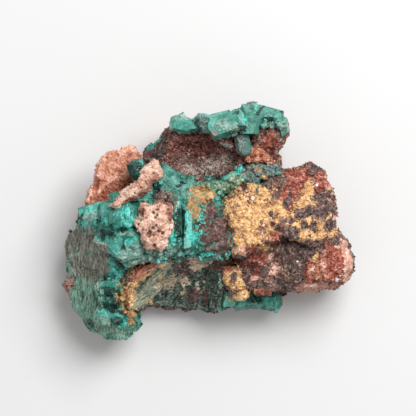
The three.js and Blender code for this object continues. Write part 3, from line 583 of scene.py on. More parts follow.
def crystal_set(name, rows, seed):
    """The main crystals of a growth: their flat faces, each its own shade, divided finely enough to
    carry stains and etched by shallow pits where smooth noise is high."""
    mesh = prism_mesh(name, *crystal_frames(rows))
    face_tones(mesh, seed)
    fine = bmesh.new()
    fine.from_mesh(mesh)
    bmesh.ops.subdivide_edges(fine, edges=fine.edges, cuts=CRYSTAL_CUTS, use_grid_fill=True)
    fine.to_mesh(mesh)
    fine.free()
    points, normals = coordinates(mesh)
    pits = ramp(rough(points, 1.1, 2, seed), 0.35, 1.0)
    relief(mesh, points, normals, -ETCH_DEPTH * pits)
    return mesh


def worn_edges(piece):
    """A thin bevel along a piece's edges, bruised and carrying a painted highlight, in its last material."""
    worn = piece.modifiers.new("worn edges", "BEVEL")
    worn.width = EDGE_WEAR * MM
    worn.segments = 1
    worn.limit_method = "ANGLE"
    worn.material = len(piece.data.materials) - 1


def directions(count, rng):
    """Unit vectors spread evenly over all directions."""
    spread = rng.normal(size=(count, 3))
    return spread / np.linalg.norm(spread, axis=1, keepdims=True)


def pick(weight, count, rng):
    """Indices of points drawn at random, more often where the weight is greater."""
    return rng.choice(len(weight), count, p=weight / weight.sum())


def shards(name, source, weight, count, sizes, slimness, sink, lean, materials, seed):
    """Small six-sided crystals that stand on a surface: each is rooted at a drawn point, along the
    normal there plus the lean times a random direction, sunk by a share of its length. It takes on
    the surface's stains, and its radius is a drawn share of its length, from the slimness."""
    points, normals, values = source
    rng = np.random.default_rng(seed)
    chosen = pick(weight, count, rng)
    length = rng.uniform(*sizes, count) * rng.uniform(0.6, 1.0, count)
    axis = normals[chosen] + lean * directions(count, rng)
    axis /= np.linalg.norm(axis, axis=1, keepdims=True)
    across = np.cross(axis, directions(count, rng))
    across /= np.linalg.norm(across, axis=1, keepdims=True)
    middle = points[chosen] + axis * (length * (0.5 - sink))[:, None]
    radius = length * rng.uniform(*slimness, count)
    beside = np.cross(axis, across)
    mesh = prism_mesh(name, middle, axis, across, beside, length / 2, radius, taper=0.92)
    corners = len(mesh.vertices) // count
    carried = {
        key: np.repeat(value[chosen], corners) for key, value in values.items() if key != "facet"
    }
    attach(mesh, carried)
    face_tones(mesh, seed)
    finish_piece(name, mesh, materials, smooth=False)


def crumbs(name, source, weight, count, sizes, materials, seed):
    """Mineral grains on a surface: octahedra with each corner at its own random distance along
    turned axes, about half sunk at drawn points, which take on the surface's stains. Sizes are
    drawn evenly and raised to the power 1.5, so that small grains are commoner. A powder's grains
    are made far coarser than real ones, so that they show."""
    points, normals, values = source
    rng = np.random.default_rng(seed)
    chosen = pick(weight, count, rng)
    first = directions(count, rng)
    second = np.cross(first, directions(count, rng))
    second /= np.linalg.norm(second, axis=1, keepdims=True)
    axes = np.stack([first, second, np.cross(first, second)], axis=1)
    corners = np.concatenate([axes, -axes], axis=1)
    size = rng.uniform(*sizes, count) ** 1.5 / max(sizes) ** 0.5
    reach = size[:, None, None] * rng.uniform(0.35, 0.65, (count, 6, 1))
    middle = points[chosen] + normals[chosen] * (size * 0.1)[:, None]
    faces = [(0, 1, 2), (1, 3, 2), (3, 4, 2), (4, 0, 2), (1, 0, 5), (3, 1, 5), (4, 3, 5), (0, 4, 5)]
    mesh = repeated(name, middle[:, None] + corners * reach, faces)
    carried = {key: np.repeat(value[chosen], corners.shape[1]) for key, value in values.items()}
    attach(mesh, carried)
    finish_piece(name, mesh, materials, smooth=False)


# ---- materials ----------------------------------------------------------------------------------
# A Mix node's inputs for numbers and for colours, and its output for colours.
NUMBER_A, NUMBER_B, COLOUR_A, COLOUR_B = 2, 3, 6, 7
MIXED_COLOUR = 2


def linear(colour):
    """An sRGB hex colour as the linear numbers that a shader works in."""
    channels = np.array([int(colour[i : i + 2], 16) for i in (1, 3, 5)]) / 255
    straight = np.where(channels <= 0.04045, channels / 12.92, ((channels + 0.055) / 1.055) ** 2.4)
    return (*straight, 1.0)


def add(tree, kind, inputs=None, stops=None, **settings):
    """Adds a node with its settings. Inputs are values or other nodes' sockets, by the input's name
    or, where a node has several of one name, its number. Stops are a colour ramp's places and hex
    colours."""
    node = tree.nodes.new("ShaderNode" + kind)
    for name, value in settings.items():
        setattr(node, name, value)
    for name, value in (inputs or {}).items():
        if isinstance(value, bpy.types.NodeSocket):
            tree.links.new(value, node.inputs[name])
        else:
            node.inputs[name].default_value = value
    if stops:
        elements = node.color_ramp.elements
        while len(elements) < len(stops):
            elements.new(0.5)
        for element, (place, colour) in zip(elements, stops):
            element.position = place
            element.color = linear(colour)
    return node


def per_metre(millimetres):
    """A texture's scale for features of this size."""
    return 1 / (millimetres * MM)


def shades(colours, low, high):
    """A ramp's stops: hex colours, parted by spaces, spread evenly from the low place to the high."""
    colours = colours.split()
    return list(zip(np.linspace(low, high, len(colours)), colours))


def grit_colour(tree, colours, where, clump, grain, balance=0.5):
    """Colour of a granular mineral: grains of one size, each its own shade, lighter and darker in
    clumps. The balance is the grains' share against the clumps', and colours run from dark to
    light. A powder's or a fine crust's real grains are too fine to show, so all are drawn about
    half a millimetre wide."""
    noise = {"Vector": where, "Scale": per_metre(clump), "Detail": 7.0, "Roughness": 0.6}
    drift = add(tree, "TexNoise", noise)
    spread = add(
        tree, "MapRange", {"Value": drift.outputs["Fac"], "From Min": 0.3, "From Max": 0.7}
    )
    grains = add(tree, "TexVoronoi", {"Vector": where, "Scale": per_metre(grain)})
    single = add(tree, "SeparateColor", {"Color": grains.outputs["Color"]})
    parts = {"Factor": balance, NUMBER_A: spread.outputs[0], NUMBER_B: single.outputs["Red"]}
    share = add(tree, "Mix", parts, data_type="FLOAT")
    ramped = add(tree, "ValToRGB", {"Fac": share.outputs[0]}, stops=shades(colours, 0.14, 0.86))
    return ramped.outputs["Color"]


def cover(tree, below, stain_name, above, where, clump, ragged, specks=0.35, edge=0.05):
    """Lays one colour over another where a stain is, along a ragged and speckled edge. Noise of the
    clump's size swings the stain by half of ragged either way, and grains of 0.4 mm raise it by up
    to the share of specks. It shows where it is then more than one half and the grains' mean, and
    fades over the edge. Gives the colour and the cover."""
    amount = add(tree, "Attribute", attribute_name=stain_name).outputs["Fac"]
    noise = {"Vector": where, "Scale": per_metre(clump), "Detail": 8.0, "Roughness": 0.7}
    drift = add(tree, "TexNoise", noise)
    reach = {"From Min": 0.3, "From Max": 0.7, "To Min": -ragged / 2, "To Max": ragged / 2}
    swing = add(tree, "MapRange", {"Value": drift.outputs["Fac"], **reach}, clamp=False)
    grains = add(tree, "TexVoronoi", {"Vector": where, "Scale": per_metre(0.4)})
    single = add(tree, "SeparateColor", {"Color": grains.outputs["Color"]})
    speckled = {0: single.outputs["Green"], 1: specks, 2: swing.outputs[0]}
    speck = add(tree, "Math", speckled, operation="MULTIPLY_ADD")
    shifted = add(tree, "Math", {0: speck.outputs[0], 1: amount}, operation="ADD")
    middle = 0.5 + specks * 0.5
    cut = {"Value": shifted.outputs[0], "From Min": middle - edge, "From Max": middle + edge}
    mask = add(tree, "MapRange", cut, interpolation_type="SMOOTHSTEP")
    present = add(tree, "MapRange", {"Value": amount, "From Min": 0.05, "From Max": 0.2})
    laid = add(tree, "Math", {0: mask.outputs[0], 1: present.outputs[0]}, operation="MULTIPLY")
    colours = {"Factor": laid.outputs[0], COLOUR_A: below, COLOUR_B: above}
    mixed = add(tree, "Mix", colours, data_type="RGBA")
    return mixed.outputs[MIXED_COLOUR], laid.outputs[0]


def coats(tree, colour, layers):
    """Lays mineral over mineral. A layer is its stain's name and its colours, then its grit's
    coordinates, clump, grain and balance, then its edge's coordinates, clump, raggedness, specks
    and softness. Gives the colour and each stain's cover."""
    covers = {}
    for stain_name, colours, grit, edge in layers:
        above = grit_colour(tree, colours, *grit)
        colour, covers[stain_name] = cover(tree, colour, stain_name, above, *edge)
    return colour, covers


def facet_colour(tree, colours, where):
    """Colour of a glassy crystal: each flat face its own shade, partly painted light from its tilt, clouded
    by noise and flecked with fine noise, whose swing about its middle is doubled. Colours run from deep to
    hazed, the most hazed partly a painted highlight."""
    by_face, by_cloud, by_fleck = 0.55, 0.3, 0.15
    face = add(tree, "Attribute", attribute_name="facet")
    cloud = add(tree, "TexNoise", {"Vector": where, "Scale": per_metre(2.4), "Detail": 5.0})
    spread = add(
        tree, "MapRange", {"Value": cloud.outputs["Fac"], "From Min": 0.3, "From Max": 0.7}
    )
    fleck = add(tree, "TexNoise", {"Vector": where, "Scale": per_metre(0.5), "Detail": 3.0})
    total = -by_fleck / 2
    for part, weight in (
        (fleck.outputs["Fac"], 2 * by_fleck),
        (spread.outputs[0], by_cloud),
        (face.outputs["Fac"], by_face),
    ):
        weighed = {0: part, 1: weight, 2: total}
        total = add(tree, "Math", weighed, operation="MULTIPLY_ADD").outputs[0]
    return add(tree, "ValToRGB", {"Fac": total}, stops=shades(colours, 0.1, 0.9)).outputs["Color"]


def new_material(name):
    """An empty material: its tree, its shader and the object coordinates."""
    material = bpy.data.materials.new(name)
    material.use_nodes = True
    tree = material.node_tree
    shader = tree.nodes["Principled BSDF"]
    where = add(tree, "TexCoord").outputs["Object"]
    return material, tree, shader, where


def grainy_bump(tree, where, coarse, fine, depth):
    """The normal of a surface with pits of the coarse size and grit of the fine size, the pits
    counting 1.6 times as much."""
    pits = add(tree, "TexNoise", {"Vector": where, "Scale": per_metre(coarse), "Detail": 4.0})
    grit = add(tree, "TexVoronoi", {"Vector": where, "Scale": per_metre(fine)})
    weighed = {0: pits.outputs["Fac"], 1: 1.6, 2: grit.outputs["Distance"]}
    height = add(tree, "Math", weighed, operation="MULTIPLY_ADD")
    bump = add(tree, "Bump", {"Height": height.outputs[0], "Distance": depth * MM})
    return bump.outputs["Normal"]


def iron_stained_rock():
    """Gossan, the iron-stained host rock, freshly broken: dull and granular, brown-red with pink
    and dark grains, crusted with powdery limonite, specked with black oxide and pale rose."""
    material, tree, shader, where = new_material("iron_stained_rock")
    bare = grit_colour(tree, "#33211d #5c423a #805c50 #a57d6e #dcbcab", where, 1.8, 0.45)
    layers = (
        ("hematite", "#521f17 #82392b #a25443 #c07a65 #e2b29c", (where, 1.5, 0.4), (where, 2.6, 0.8)),
        # The shade layer is partly painted shade, under overhangs and in recesses, and partly the rock's own
        # dark plum red.
        ("shade", "#2c0f0b #50241b #703a2e #996455", (where, 1.3, 0.45), (where, 2.2, 0.7)),
        ("rose", "#a46552 #d29681 #e9c0ad #fbe6da", (where, 1.4, 0.5), (where, 2.0, 0.8, 0.4, 0.12)),
        ("limonite", "#966a46 #d6a671 #f6c78e #ffdfae", (where, 1.6, 0.4, 0.55), (where, 2.4, 1.3, 0.6)),
        ("oxide", "#291f1d #4f3d39 #745e57 #ac9186", (where, 1.2, 0.4), (where, 1.8, 1.6, 0.6)),
        ("knobs", "#733824 #a86247 #ca8566 #e6b498", (where, 1.0, 0.5), (where, 1.4, 0.4)),
        ("greenbit", "#4a4d46 #706f66 #979082", (where, 0.9, 0.5), (where, 1.4, 0.9)),
        ("verdigris", "#1c7f70 #43b5a5 #8fdad0", (where, 1.0, 0.5), (where, 1.2, 0.5, 0.3)),
        ("white", "#e8e2d8 #ffffff", (where, 1.0, 0.5), (where, 0.9, 0.5, 0.2)),
    )
    colour, covers = coats(tree, bare, layers)
    tree.links.new(colour, shader.inputs["Base Color"])
    dull = add(tree, "MapRange", {"Value": covers["limonite"], "To Min": 0.72, "To Max": 0.95})
    tree.links.new(dull.outputs[0], shader.inputs["Roughness"])
    tree.links.new(grainy_bump(tree, where, 0.9, 0.45, 0.28), shader.inputs["Normal"])
    return material


def dioptase(name, colours):
    """Dioptase, a copper silicate: glassy emerald-green crystal, deep where it is seen into and darkened by
    painted shade in gaps and on faces away from the light, turquoise where it is bruised and where painted
    highlights lie along its edges, with a grey-brown bloom of dust where it was never cleaned. Its faces,
    bruises and fibres are drawn out along Y. Colours run from deep to hazed, the most hazed partly a painted
    highlight."""
    material, tree, shader, where = new_material(name)
    faces, blade, fibre = (
        add(tree, "Mapping", {"Vector": where, "Scale": drawn_out}, vector_type="TEXTURE").outputs[0]
        for drawn_out in ((0.7, 1.6, 1.0), (0.45, 1.8, 1.0), (0.35, 2.4, 1.5))
    )
    clean = facet_colour(tree, colours, faces)
    layers = (
        ("smooth", "#255f50 #3e7b6c #599587 #7fada0", (where, 1.8, 0.6, 0.3), (where, 2.4, 0.7, 0.2, 0.2)),
        # bright: partly painted highlight along edges, partly real bruising.
        ("bright", "#12897a #2fb3a2 #62cfc2 #a0e4dc", (where, 1.0, 0.4, 0.4), (blade, 1.4, 1.5, 0.5, 0.12)),
        # deep: partly the crystal's deep green, partly painted shade in gaps and on faces away from the
        # light.
        ("deep", "#02120e #05241d #0d3b31 #205c4f", (where, 1.6, 0.6, 0.3), (where, 2.0, 0.8, 0.3, 0.15)),
        ("moss", "#2b473d #5d8474 #95bda9 #5e4d40", (fibre, 1.2, 0.5, 0.35), (where, 2.0, 0.9, 0.4, 0.15)),
        ("dust", "#403f37 #76766b #98998c #c4c4b6", (fibre, 1.2, 0.35, 0.4), (where, 2.0, 0.8, 0.3, 0.15)),
        ("shelf", "#456b5f #6a9385 #8bafa2 #a9c6ba", (where, 1.2, 0.5, 0.35), (where, 1.8, 0.8, 0.4, 0.15)),
        ("olive", "#4f6350 #738a72 #97ad8f #b9c0a0", (where, 0.9, 0.5), (where, 1.6, 0.9, 0.4, 0.15)),
        ("slate", "#374642 #576a67 #73867f #9c9c8f", (where, 0.8, 0.5), (where, 1.6, 0.8, 0.4, 0.12)),
        ("rust", "#745737 #a17a4b #bf9562 #d6b083", (where, 1.0, 0.45), (where, 1.5, 1.3, 0.5)),
        ("nodule", "#2e1d1c #4f3531 #6f514a #968075", (where, 1.2, 0.45, 0.45), (where, 1.6, 1.5, 0.6, 0.1)),
        ("umber", "#2a1d1b #4f3b35 #7c6a60 #a69384", (where, 0.8, 0.45), (where, 1.5, 1.0, 0.5)),
        ("rustred", "#2e2a24 #7a4840 #b88a80 #5f7a6c", (where, 0.8, 0.45), (where, 1.2, 1.3, 0.6)),
    )
    colour, covers = coats(tree, clean, layers)
    tree.links.new(colour, shader.inputs["Base Color"])
    covered = add(tree, "Math", {0: covers["dust"], 1: covers["nodule"]}, operation="MAXIMUM")
    dulled = add(tree, "Math", {0: covered.outputs[0], 1: covers["moss"]}, operation="MAXIMUM")
    gloss = add(tree, "MapRange", {"Value": dulled.outputs[0], "To Min": 0.28, "To Max": 0.85})
    tree.links.new(gloss.outputs[0], shader.inputs["Roughness"])
    shader.inputs["IOR"].default_value = 1.66
    shader.inputs["Specular IOR Level"].default_value = 0.25
    tree.links.new(grainy_bump(tree, where, 0.8, 0.4, 0.14), shader.inputs["Normal"])
    return material


def bruised_highlit_edge():
    """Dioptase chipped along its edges: a paler turquoise than its faces, in places, partly real bruising
    and partly a painted highlight where the edges catch the light.
    """
    material, tree, shader, where = new_material("bruised_highlit_dioptase_edge")
    colour = grit_colour(tree, "#124c40 #1f6c5e #3f9586 #86cfc3", where, 1.2, 0.5, 0.3)
    tree.links.new(colour, shader.inputs["Base Color"])
    shader.inputs["Roughness"].default_value = 0.45
    return material


def calcite(name, colours, shaded_flanks, pits):
    """Calcite stained by iron: dull, sugary and pale pink, with small dark pits, and browner with painted
    shade on the sides that face away from the light. Colours run from dark to light."""
    material, tree, shader, where = new_material(name)
    clean = grit_colour(tree, colours, where, 2.4, 0.4, 0.35)
    layers = (
        ("shaded_flank", shaded_flanks, (where, 1.6, 0.4, 0.35), (where, 2.0, 0.6, 0.4, 0.2)),
        ("pit", pits, (where, 1.0, 0.4), (where, 1.0, 0.5, 0.3, 0.15)),
    )
    tree.links.new(coats(tree, clean, layers)[0], shader.inputs["Base Color"])
    shader.inputs["Roughness"].default_value = 0.85
    tree.links.new(grainy_bump(tree, where, 0.8, 0.4, 0.2), shader.inputs["Normal"])
    return material


def druse(name, colours, pale, stained, drawn_out=1.0):
    """A crust of crystals too small to name: dark, each grain its own shade, and glinting. Its
    colours may be drawn out into streaks that run with the bands of the lower hollow. Each thing
    that stains it is a name, colours, and its edge's clump and raggedness."""
    material, tree, shader, where = new_material(name)
    bearing = (0.0, 0.0, np.radians(BAND_BEARING))
    streaked, banded = (
        add(
            tree,
            "Mapping",
            {"Vector": where, "Scale": (along, across, 1.0), "Rotation": bearing},
            vector_type="TEXTURE",
        ).outputs[0]
        for along, across in ((drawn_out, 1 / drawn_out), (2.6, 0.5))
    )
    layers = []
    for stain_name, tones, clump, ragged in stained:
        laid = banded if stain_name.startswith("band") else where
        layers.append((stain_name, tones, (laid, 1.1, 0.42, 0.4), (laid, clump, ragged, 0.4, 0.1)))
    # The lit layer is painted light: its pale colours lie where the crust is meant to look lit.
    layers.append(("lit", pale, (where, 1.0, 0.4, 0.6), (where, 0.8, 0.9, 0.9)))
    colour, _ = coats(tree, grit_colour(tree, colours, streaked, 1.2, 0.45, 0.6), layers)
    tree.links.new(colour, shader.inputs["Base Color"])
    gloss = add(tree, "TexNoise", {"Vector": where, "Scale": per_metre(0.5), "Detail": 2.0})
    reach = {"From Min": 0.35, "From Max": 0.65, "To Min": 0.25, "To Max": 0.75}
    spread = add(tree, "MapRange", {"Value": gloss.outputs["Fac"], **reach})
    tree.links.new(spread.outputs[0], shader.inputs["Roughness"])
    tree.links.new(grainy_bump(tree, where, 0.8, 0.45, 0.25), shader.inputs["Normal"])
    return material


# ---- the minerals -------------------------------------------------------------------------------
def stains(points, normals, table, seed, bar):
    """Each stain of a table. On the faces that look up, and on the steep ones and the high rims that
    are stained as seen from above, it lies where its patches do. On the rest it drifts where noise
    of its own, 7 mm across, passes the bar."""
    height = points[:, 2] + 3 * rough(points, 4.0, 2, seed + 5)
    rim = stain(points, RIM_SEEN) * ramp(height, 9.5, 12.5)
    steep = ramp(np.maximum(stain(points, STEEP_SEEN), rim), 0.2, 0.6)
    upward = np.maximum(ramp(normals[:, 2], -0.2, 0.2), steep)
    values = {}
    for number, (name, patches) in enumerate(table.items()):
        own_bar = bar + SCARCE.get(name, 0.0)
        drift = np.clip(0.5 + 0.8 * (rough(points, 7.0, 3, seed + 10 * number) - own_bar), 0, 1)
        values[name] = upward * stain(points, patches) + (1 - upward) * drift
    return values


def surface(mesh, values):
    """A dressed surface's points, normals and stains, for what is scattered on it."""
    points, normals = coordinates(mesh)
    return points, normals, values


def matrix_rock():
    """The host rock. Its height over the solid is the seam's closing, slow swells, broken faces of
    two sizes that limonite hides by three quarters, the limonite's own crumbling thickness, less
    round pits, and the lip of ochre where it looks up."""
    mesh = even_copy("matrix", ROCK_MESH)
    points, normals = coordinates(mesh)
    values = stains(points, normals, ROCK_STAINS, 100, bar=0.3)
    crust = ramp(values["limonite"], 0.42, 0.7)
    (coarse, coarse_tilt), (fine, fine_tilt) = ROCK_FACES
    broken = coarse_tilt * chips(points, coarse, 11)[0] + fine_tilt * chips(points, fine, 21)[0]
    pit = 1 - ramp(cells(points, 1.7, 31)[0], 0.18, 0.5)
    swells, hidden, thickness, crumble, pit_depth, lip_height = 0.4, 0.75, 0.3, 0.16, 0.35, 0.9
    height = SEAM_CLOSE + swells * rough(points, 5.0, 4, 41) + (1 - hidden * crust) * broken
    height += crust * (thickness + crumble * rough(points, 0.9, 2, 51)) - pit_depth * pit
    lip = ramp(stain(points, OCHRE_LIP), 0.2, 0.9)
    height += lip_height * lip * ramp(normals[:, 2], 0, 0.5)
    relief(mesh, points, normals, height)
    attach(mesh, values)
    material = iron_stained_rock()
    piece = finish_piece("matrix_rock", mesh, [material])
    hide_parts("matrix")
    source = surface(mesh, values)
    powder = ramp(values["limonite"], 0.35, 0.6)
    above_base = ramp(source[0][:, 2], 0.8, 1.6)
    for title, weight, sizes, seed in (
        ("matrix_grains", above_base * (1 - 0.8 * powder), (0.2, 0.55), 61),
        ("limonite_powder", above_base * powder, (0.16, 0.4), 62),
    ):
        crumbs(title, source, weight, ROCK_GRAINS, sizes, [material], seed)


def dressed_growth(name, node, rows, material, seed):
    """A dioptase growth: its solid broken into crystal faces of two sizes with sunken joints,
    smoother and finely ribbed where dust and coatings lie, and let down where its main crystals
    stand and where the lip of ochre does. Also gives how open each point is to small crystals."""
    mesh = even_copy(node, CRYSTAL_MESH)
    points, normals = coordinates(mesh)
    values = stains(points, normals, DIOPTASE_STAINS, seed, bar=0.34)
    coatings = ("dust", "moss", "smooth", "nodule", "rust", "rustred")
    calm = ramp(np.max([values[key] for key in coatings], axis=0), 0.35, 0.75)
    (coarse_size, coarse_tilt), (fine_size, fine_tilt) = DIOPTASE_FACES
    coarse, rim, number = chips(points, coarse_size, seed)
    fine, fine_rim, fine_number = chips(points, fine_size, seed + 7)
    # Each point's tone: random per chip, with painted light, paler where the surface looks up.
    values["facet"] = shade_by_tilt(0.55 * number + 0.45 * fine_number, normals[:, 2])
    upper = 1 - 0.5 * ramp(-normals[:, 2], -0.4, 0.2)
    broken = upper * (coarse_tilt * coarse + fine_tilt * fine)
    joint, fine_joint = 0.25, 0.12
    broken -= joint * (1 - ramp(rim, 0, 0.35)) + fine_joint * (1 - ramp(fine_rim, 0, 0.2))
    drawn_out = (1.0, 0.16, 0.3)
    ribs = ripple(points * drawn_out, 0.5, seed + 27)
    smoothed, rib_height, swells, lip_bed, let_down = 0.72, 0.07, 0.3, 0.8, 0.4
    height = SEAM_CLOSE + (1 - smoothed * calm) * broken + rib_height * calm * ribs
    height += swells * rough(points, 4.0, 3, seed + 17)
    height -= lip_bed * ramp(stain(points, OCHRE_LIP), 0.2, 0.9)
    crisp = within(points, rows, 0.2)
    height = np.where(crisp, np.minimum(height, 0) - let_down, height)
    relief(mesh, points, normals, height)
    attach(mesh, values)
    piece = finish_piece(name, mesh, [material])
    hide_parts(node)
    return surface(mesh, values), ~crisp * (1 - 0.9 * calm)


def standing_crystals(name, rows, materials, seed):
    """The main crystals of a growth, with the stains that lie on them."""
    mesh = crystal_set(name, rows, seed)
    points, normals = coordinates(mesh)
    attach(mesh, stains(points, normals, DIOPTASE_STAINS, seed, bar=0.34))
    worn_edges(finish_piece(name, mesh, materials, smooth=False))


def calcite_piece(name, node, material, seed, shaded_flank, depth, pits, holes):
    """A calcite growth: its solid with sugary cleavage chips of that depth, and round pits where it
    is nearer to a jittered cell's seed than the pit's share of the cell, besides its main holes.
    Grains lie on it, few of them in the pits."""
    mesh = even_copy(node, CRYSTAL_MESH)
    points, normals = coordinates(mesh)
    (coarse, coarse_tilt), (fine, fine_tilt) = CALCITE_FACES
    broken = coarse_tilt * chips(points, coarse, seed)[0]
    broken += fine_tilt * chips(points, fine, seed + 7)[0]
    size, share = pits
    flat_bottom, pit_depth, main_hole = 0.55, 0.45 * size, 1.6
    pit = 1 - ramp(cells(points, size, seed + 17)[0] / size, share * flat_bottom, share)
    pit = np.maximum(pit, main_hole * stain(points, holes))
    height = SEAM_CLOSE + depth * (broken + rough(points, 3.0, 3, seed + 27)) - pit_depth * pit
    moved = relief(mesh, points, normals, height)
    # Painted shade, browner, where the piece's sides face away from the light or lie under others.
    values = {"shaded_flank": stain(moved, shaded_flank), "pit": np.minimum(pit, 1)}
    attach(mesh, values)
    piece = finish_piece(name, mesh, [material])
    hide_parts(node)
    source = surface(mesh, values)
    weight = 1.02 - values["pit"]
    count = len(points) // 7
    crumbs(name + "_grains", source, weight, count, (0.15, 0.5), [material], seed)


def druse_lining(place, material, seed, table, count, sizes, ribs):
    """A hollow's crust: its solid, roughened and ribbed, and set with small six-sided crystals that
    point out of it, some of them pale."""
    name, node = place + "_crust", place + "_druse"
    mesh = even_copy(node, CRYSTAL_MESH)
    points, normals = coordinates(mesh)
    proud, tilt, swells = 0.05, 0.3, 0.2
    height = proud + tilt * chips(points, 1.2, seed)[0] + swells * rough(points, 2.4, 3, seed + 7)
    height += ribs * streaks(points, BAND_BEARING, across=0.5, along=3.0, seed=seed + 27)
    relief(mesh, points, normals, height)
    values = {key: stain(points, patches) for key, patches in table.items()}
    # Painted light on the lit patches, with a little noise.
    values["lit"] = np.clip(0.8 * values["lit"] + 0.3 * rough(points, 1.6, 3, seed + 17), 0, 1)
    attach(mesh, values)
    piece = finish_piece(name, mesh, [material])
    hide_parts(node)
    source = surface(mesh, values)
    inward = ramp(source[1][:, 2], -0.2, 0.3) * ramp(source[0][:, 2], 3.0, 6.0)
    slimness, sink, lean = (0.2, 0.34), 0.4, 0.8
    title = name + "_points"
    shards(title, source, inward, count, sizes, slimness, sink, lean, [material], seed)


# ---- put together -------------------------------------------------------------------------------
matrix_rock()

green = dioptase("dioptase", "#04261f #0d4c40 #267465 #4f9a8b #8cc6bb")
dusty_green = dioptase("dusty_dioptase", "#0b4539 #1f6c5c #3f8d7d #6dac9e #a8cfc6")
edge = bruised_highlit_edge()
for part, node, rows, material, slot, seed in (
    ("dioptase_body", "dioptase_mass", MASS_CRYSTALS, green, "dioptase", 200),
    ("crest_body", "dioptase_crest", CREST_CRYSTALS, dusty_green, "dusty_dioptase", 400),
    ("foot_body", "dioptase_foot", FOOT_CRYSTALS, green, "dioptase", 600),
):
    source, open_ground = dressed_growth(part, node, rows, material, seed)
    standing_crystals(part.replace("_body", "_crystals"), rows, [material, edge], seed)
    weight = open_ground * ramp(source[0][:, 2], 1.0, 3.0) * ramp(source[1][:, 2], 0.2, 0.75)
    count = int(len(weight) * SMALL_CRYSTALS)
    sizes, slimness, sink, lean = (0.7, 2.0), (0.25, 0.42), 0.6, 0.7
    title = part + "_small"
    shards(title, source, weight, count, sizes, slimness, sink, lean, [material], seed)

pink = calcite(
    "pink_calcite",
    colours="#8c4c3b #ba7860 #d3957b #e7b49c #f8dac8",
    shaded_flanks="#4f2016 #864833 #ac6b54 #d4967e",
    pits="#7a4a3a #9d6a56 #b8826c",
)
pale = calcite(
    "pale_calcite",
    colours="#96695a #c4947f #dcb19c #edcab8 #fce6d9",
    shaded_flanks="#3f2621 #744c40 #9c6e5f #c69a87",
    pits="#4d362c #745443 #a07b67",
)
for name, material, slot, seed, depth, pits, holes in (
    ("pink_plate", pink, "pink_calcite", 700, 0.2, (1.5, 0.2), ()),
    ("pale_ridge", pale, "pale_calcite", 720, 0.2, (1.3, 0.25), ()),
    ("pale_patch", pale, "pale_calcite", 740, 0.3, (1.3, 0.33), PATCH_HOLES),
):
    form = name.split("_")[1]
    shaded_flank = CALCITE_SHADED_FLANKS[form]
    calcite_piece(name, "calcite_" + form, material, seed, shaded_flank, depth, pits, holes)

red_druse = druse(
    "red_druse",
    colours="#3a1815 #6c3831 #90564c #ad7a6e",
    # The pale colours are painted light on the lit ledge.
    pale="#84695e #a58d82 #c8b4a8 #7fa79c",
    stained=(
        ("ledge", "#452e28 #6e5047 #8e6f65 #b39488", 1.6, 0.8),
        ("dark_coat_and_shade", "#141210 #2a2421 #484b46 #6d6f66", 1.6, 0.8),
        ("chip", "#5f7068 #98a59d #d0d6d1", 1.0, 0.6),
    ),
)
green_druse = druse(
    "green_druse",
    colours="#19251f #35463e #63766a #9aa899",
    # The pale colours are painted light where the crust is meant to look lit.
    pale="#8b8670 #b8a58a #d9c5a6",
    stained=(
        ("plum", "#2a1c1e #4b3433 #745553 #9e857e", 1.4, 0.8),
        ("band_grey", "#5f7060 #99a48f #c6c9b1 #e6d8b6", 1.4, 0.8),
        ("band_red", "#b8644e #e8947d #fdb9a3", 1.2, 0.7),
        ("band_ochre", "#c08e5c #e6b680 #fbcf9b #ffe2b8", 1.2, 0.7),
        ("crumb", "#c8a68a #f2d8bc #fff2e2", 1.1, 0.9),
    ),
    drawn_out=1.8,
)
for place, material, slot, seed, table, count, sizes, ribs in (
    ("hollow", red_druse, "red_druse", 800, HOLLOW_STAINS, 1500, (0.4, 1.1), 0),
    ("alcove", green_druse, "green_druse", 840, ALCOVE_STAINS, 800, (0.3, 0.9), 0.2),
):
    druse_lining(place, material, seed, table, count, sizes, ribs)


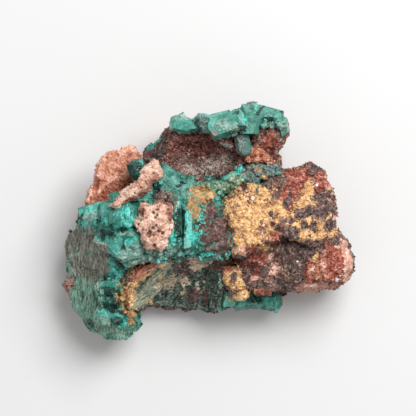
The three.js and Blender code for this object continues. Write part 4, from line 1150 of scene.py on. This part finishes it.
# ---- studio -------------------------------------------------------------------------------------
def area_light(name, place, size, power, aim):
    """A square soft light at a place, aimed at a point, all in millimetres, with power in watts."""
    lamp = bpy.data.lights.new(name, "AREA")
    lamp.size = size * MM
    lamp.energy = power
    light = bpy.data.objects.new(name, lamp)
    bpy.context.scene.collection.objects.link(light)
    light.location = np.array(place) * MM
    away = Vector(place) - Vector(aim)
    light.rotation_euler = away.to_track_quat("Z", "Y").to_euler()


def table_top():
    """A plain pale square of card for the specimen to lie on."""
    side = TABLE_REACH * MM
    corners = [(-side, -side, 0), (side, -side, 0), (side, side, 0), (-side, side, 0)]
    mesh = bpy.data.meshes.new("table")
    mesh.from_pydata(corners, [], [(0, 1, 2, 3)])
    table = bpy.data.objects.new("table", mesh)
    bpy.context.scene.collection.objects.link(table)
    material, tree, shader, where = new_material("white_card")
    tone = add(tree, "TexNoise", {"Vector": where, "Scale": per_metre(60.0)})
    stops = shades("#dadada #dcdcdc", 0.3, 0.7)
    colour = add(tree, "ValToRGB", {"Fac": tone.outputs["Fac"]}, stops=stops)
    tree.links.new(colour.outputs["Color"], shader.inputs["Base Color"])
    shader.inputs["Roughness"].default_value = 0.9
    mesh.materials.append(material)


def studio():
    """One broad soft light high beyond the table's right corner, a pale surround, and the camera
    straight above."""
    area_light("key", place=(150, 200, 430), size=260, power=2.55, aim=(0.0, 0.0, 8.0))
    world = bpy.data.worlds.new("surround")
    world.use_nodes = True
    background = world.node_tree.nodes["Background"]
    background.inputs["Color"].default_value = (1, 1, 1, 1)
    background.inputs["Strength"].default_value = 0.5
    bpy.context.scene.world = world

    lens = bpy.data.cameras.new("camera")
    lens.lens = LENS
    lens.sensor_width = FRAME
    lens.clip_start = 10 * MM
    lens.clip_end = 10000 * MM
    camera = bpy.data.objects.new("camera", lens)
    bpy.context.scene.collection.objects.link(camera)
    camera.location = np.array([*CAMERA_PLAN, FOCUS_HEIGHT + CAMERA_RISE]) * MM
    bpy.context.scene.camera = camera
    bpy.context.scene.view_settings.view_transform = "Standard"


table_top()
studio()
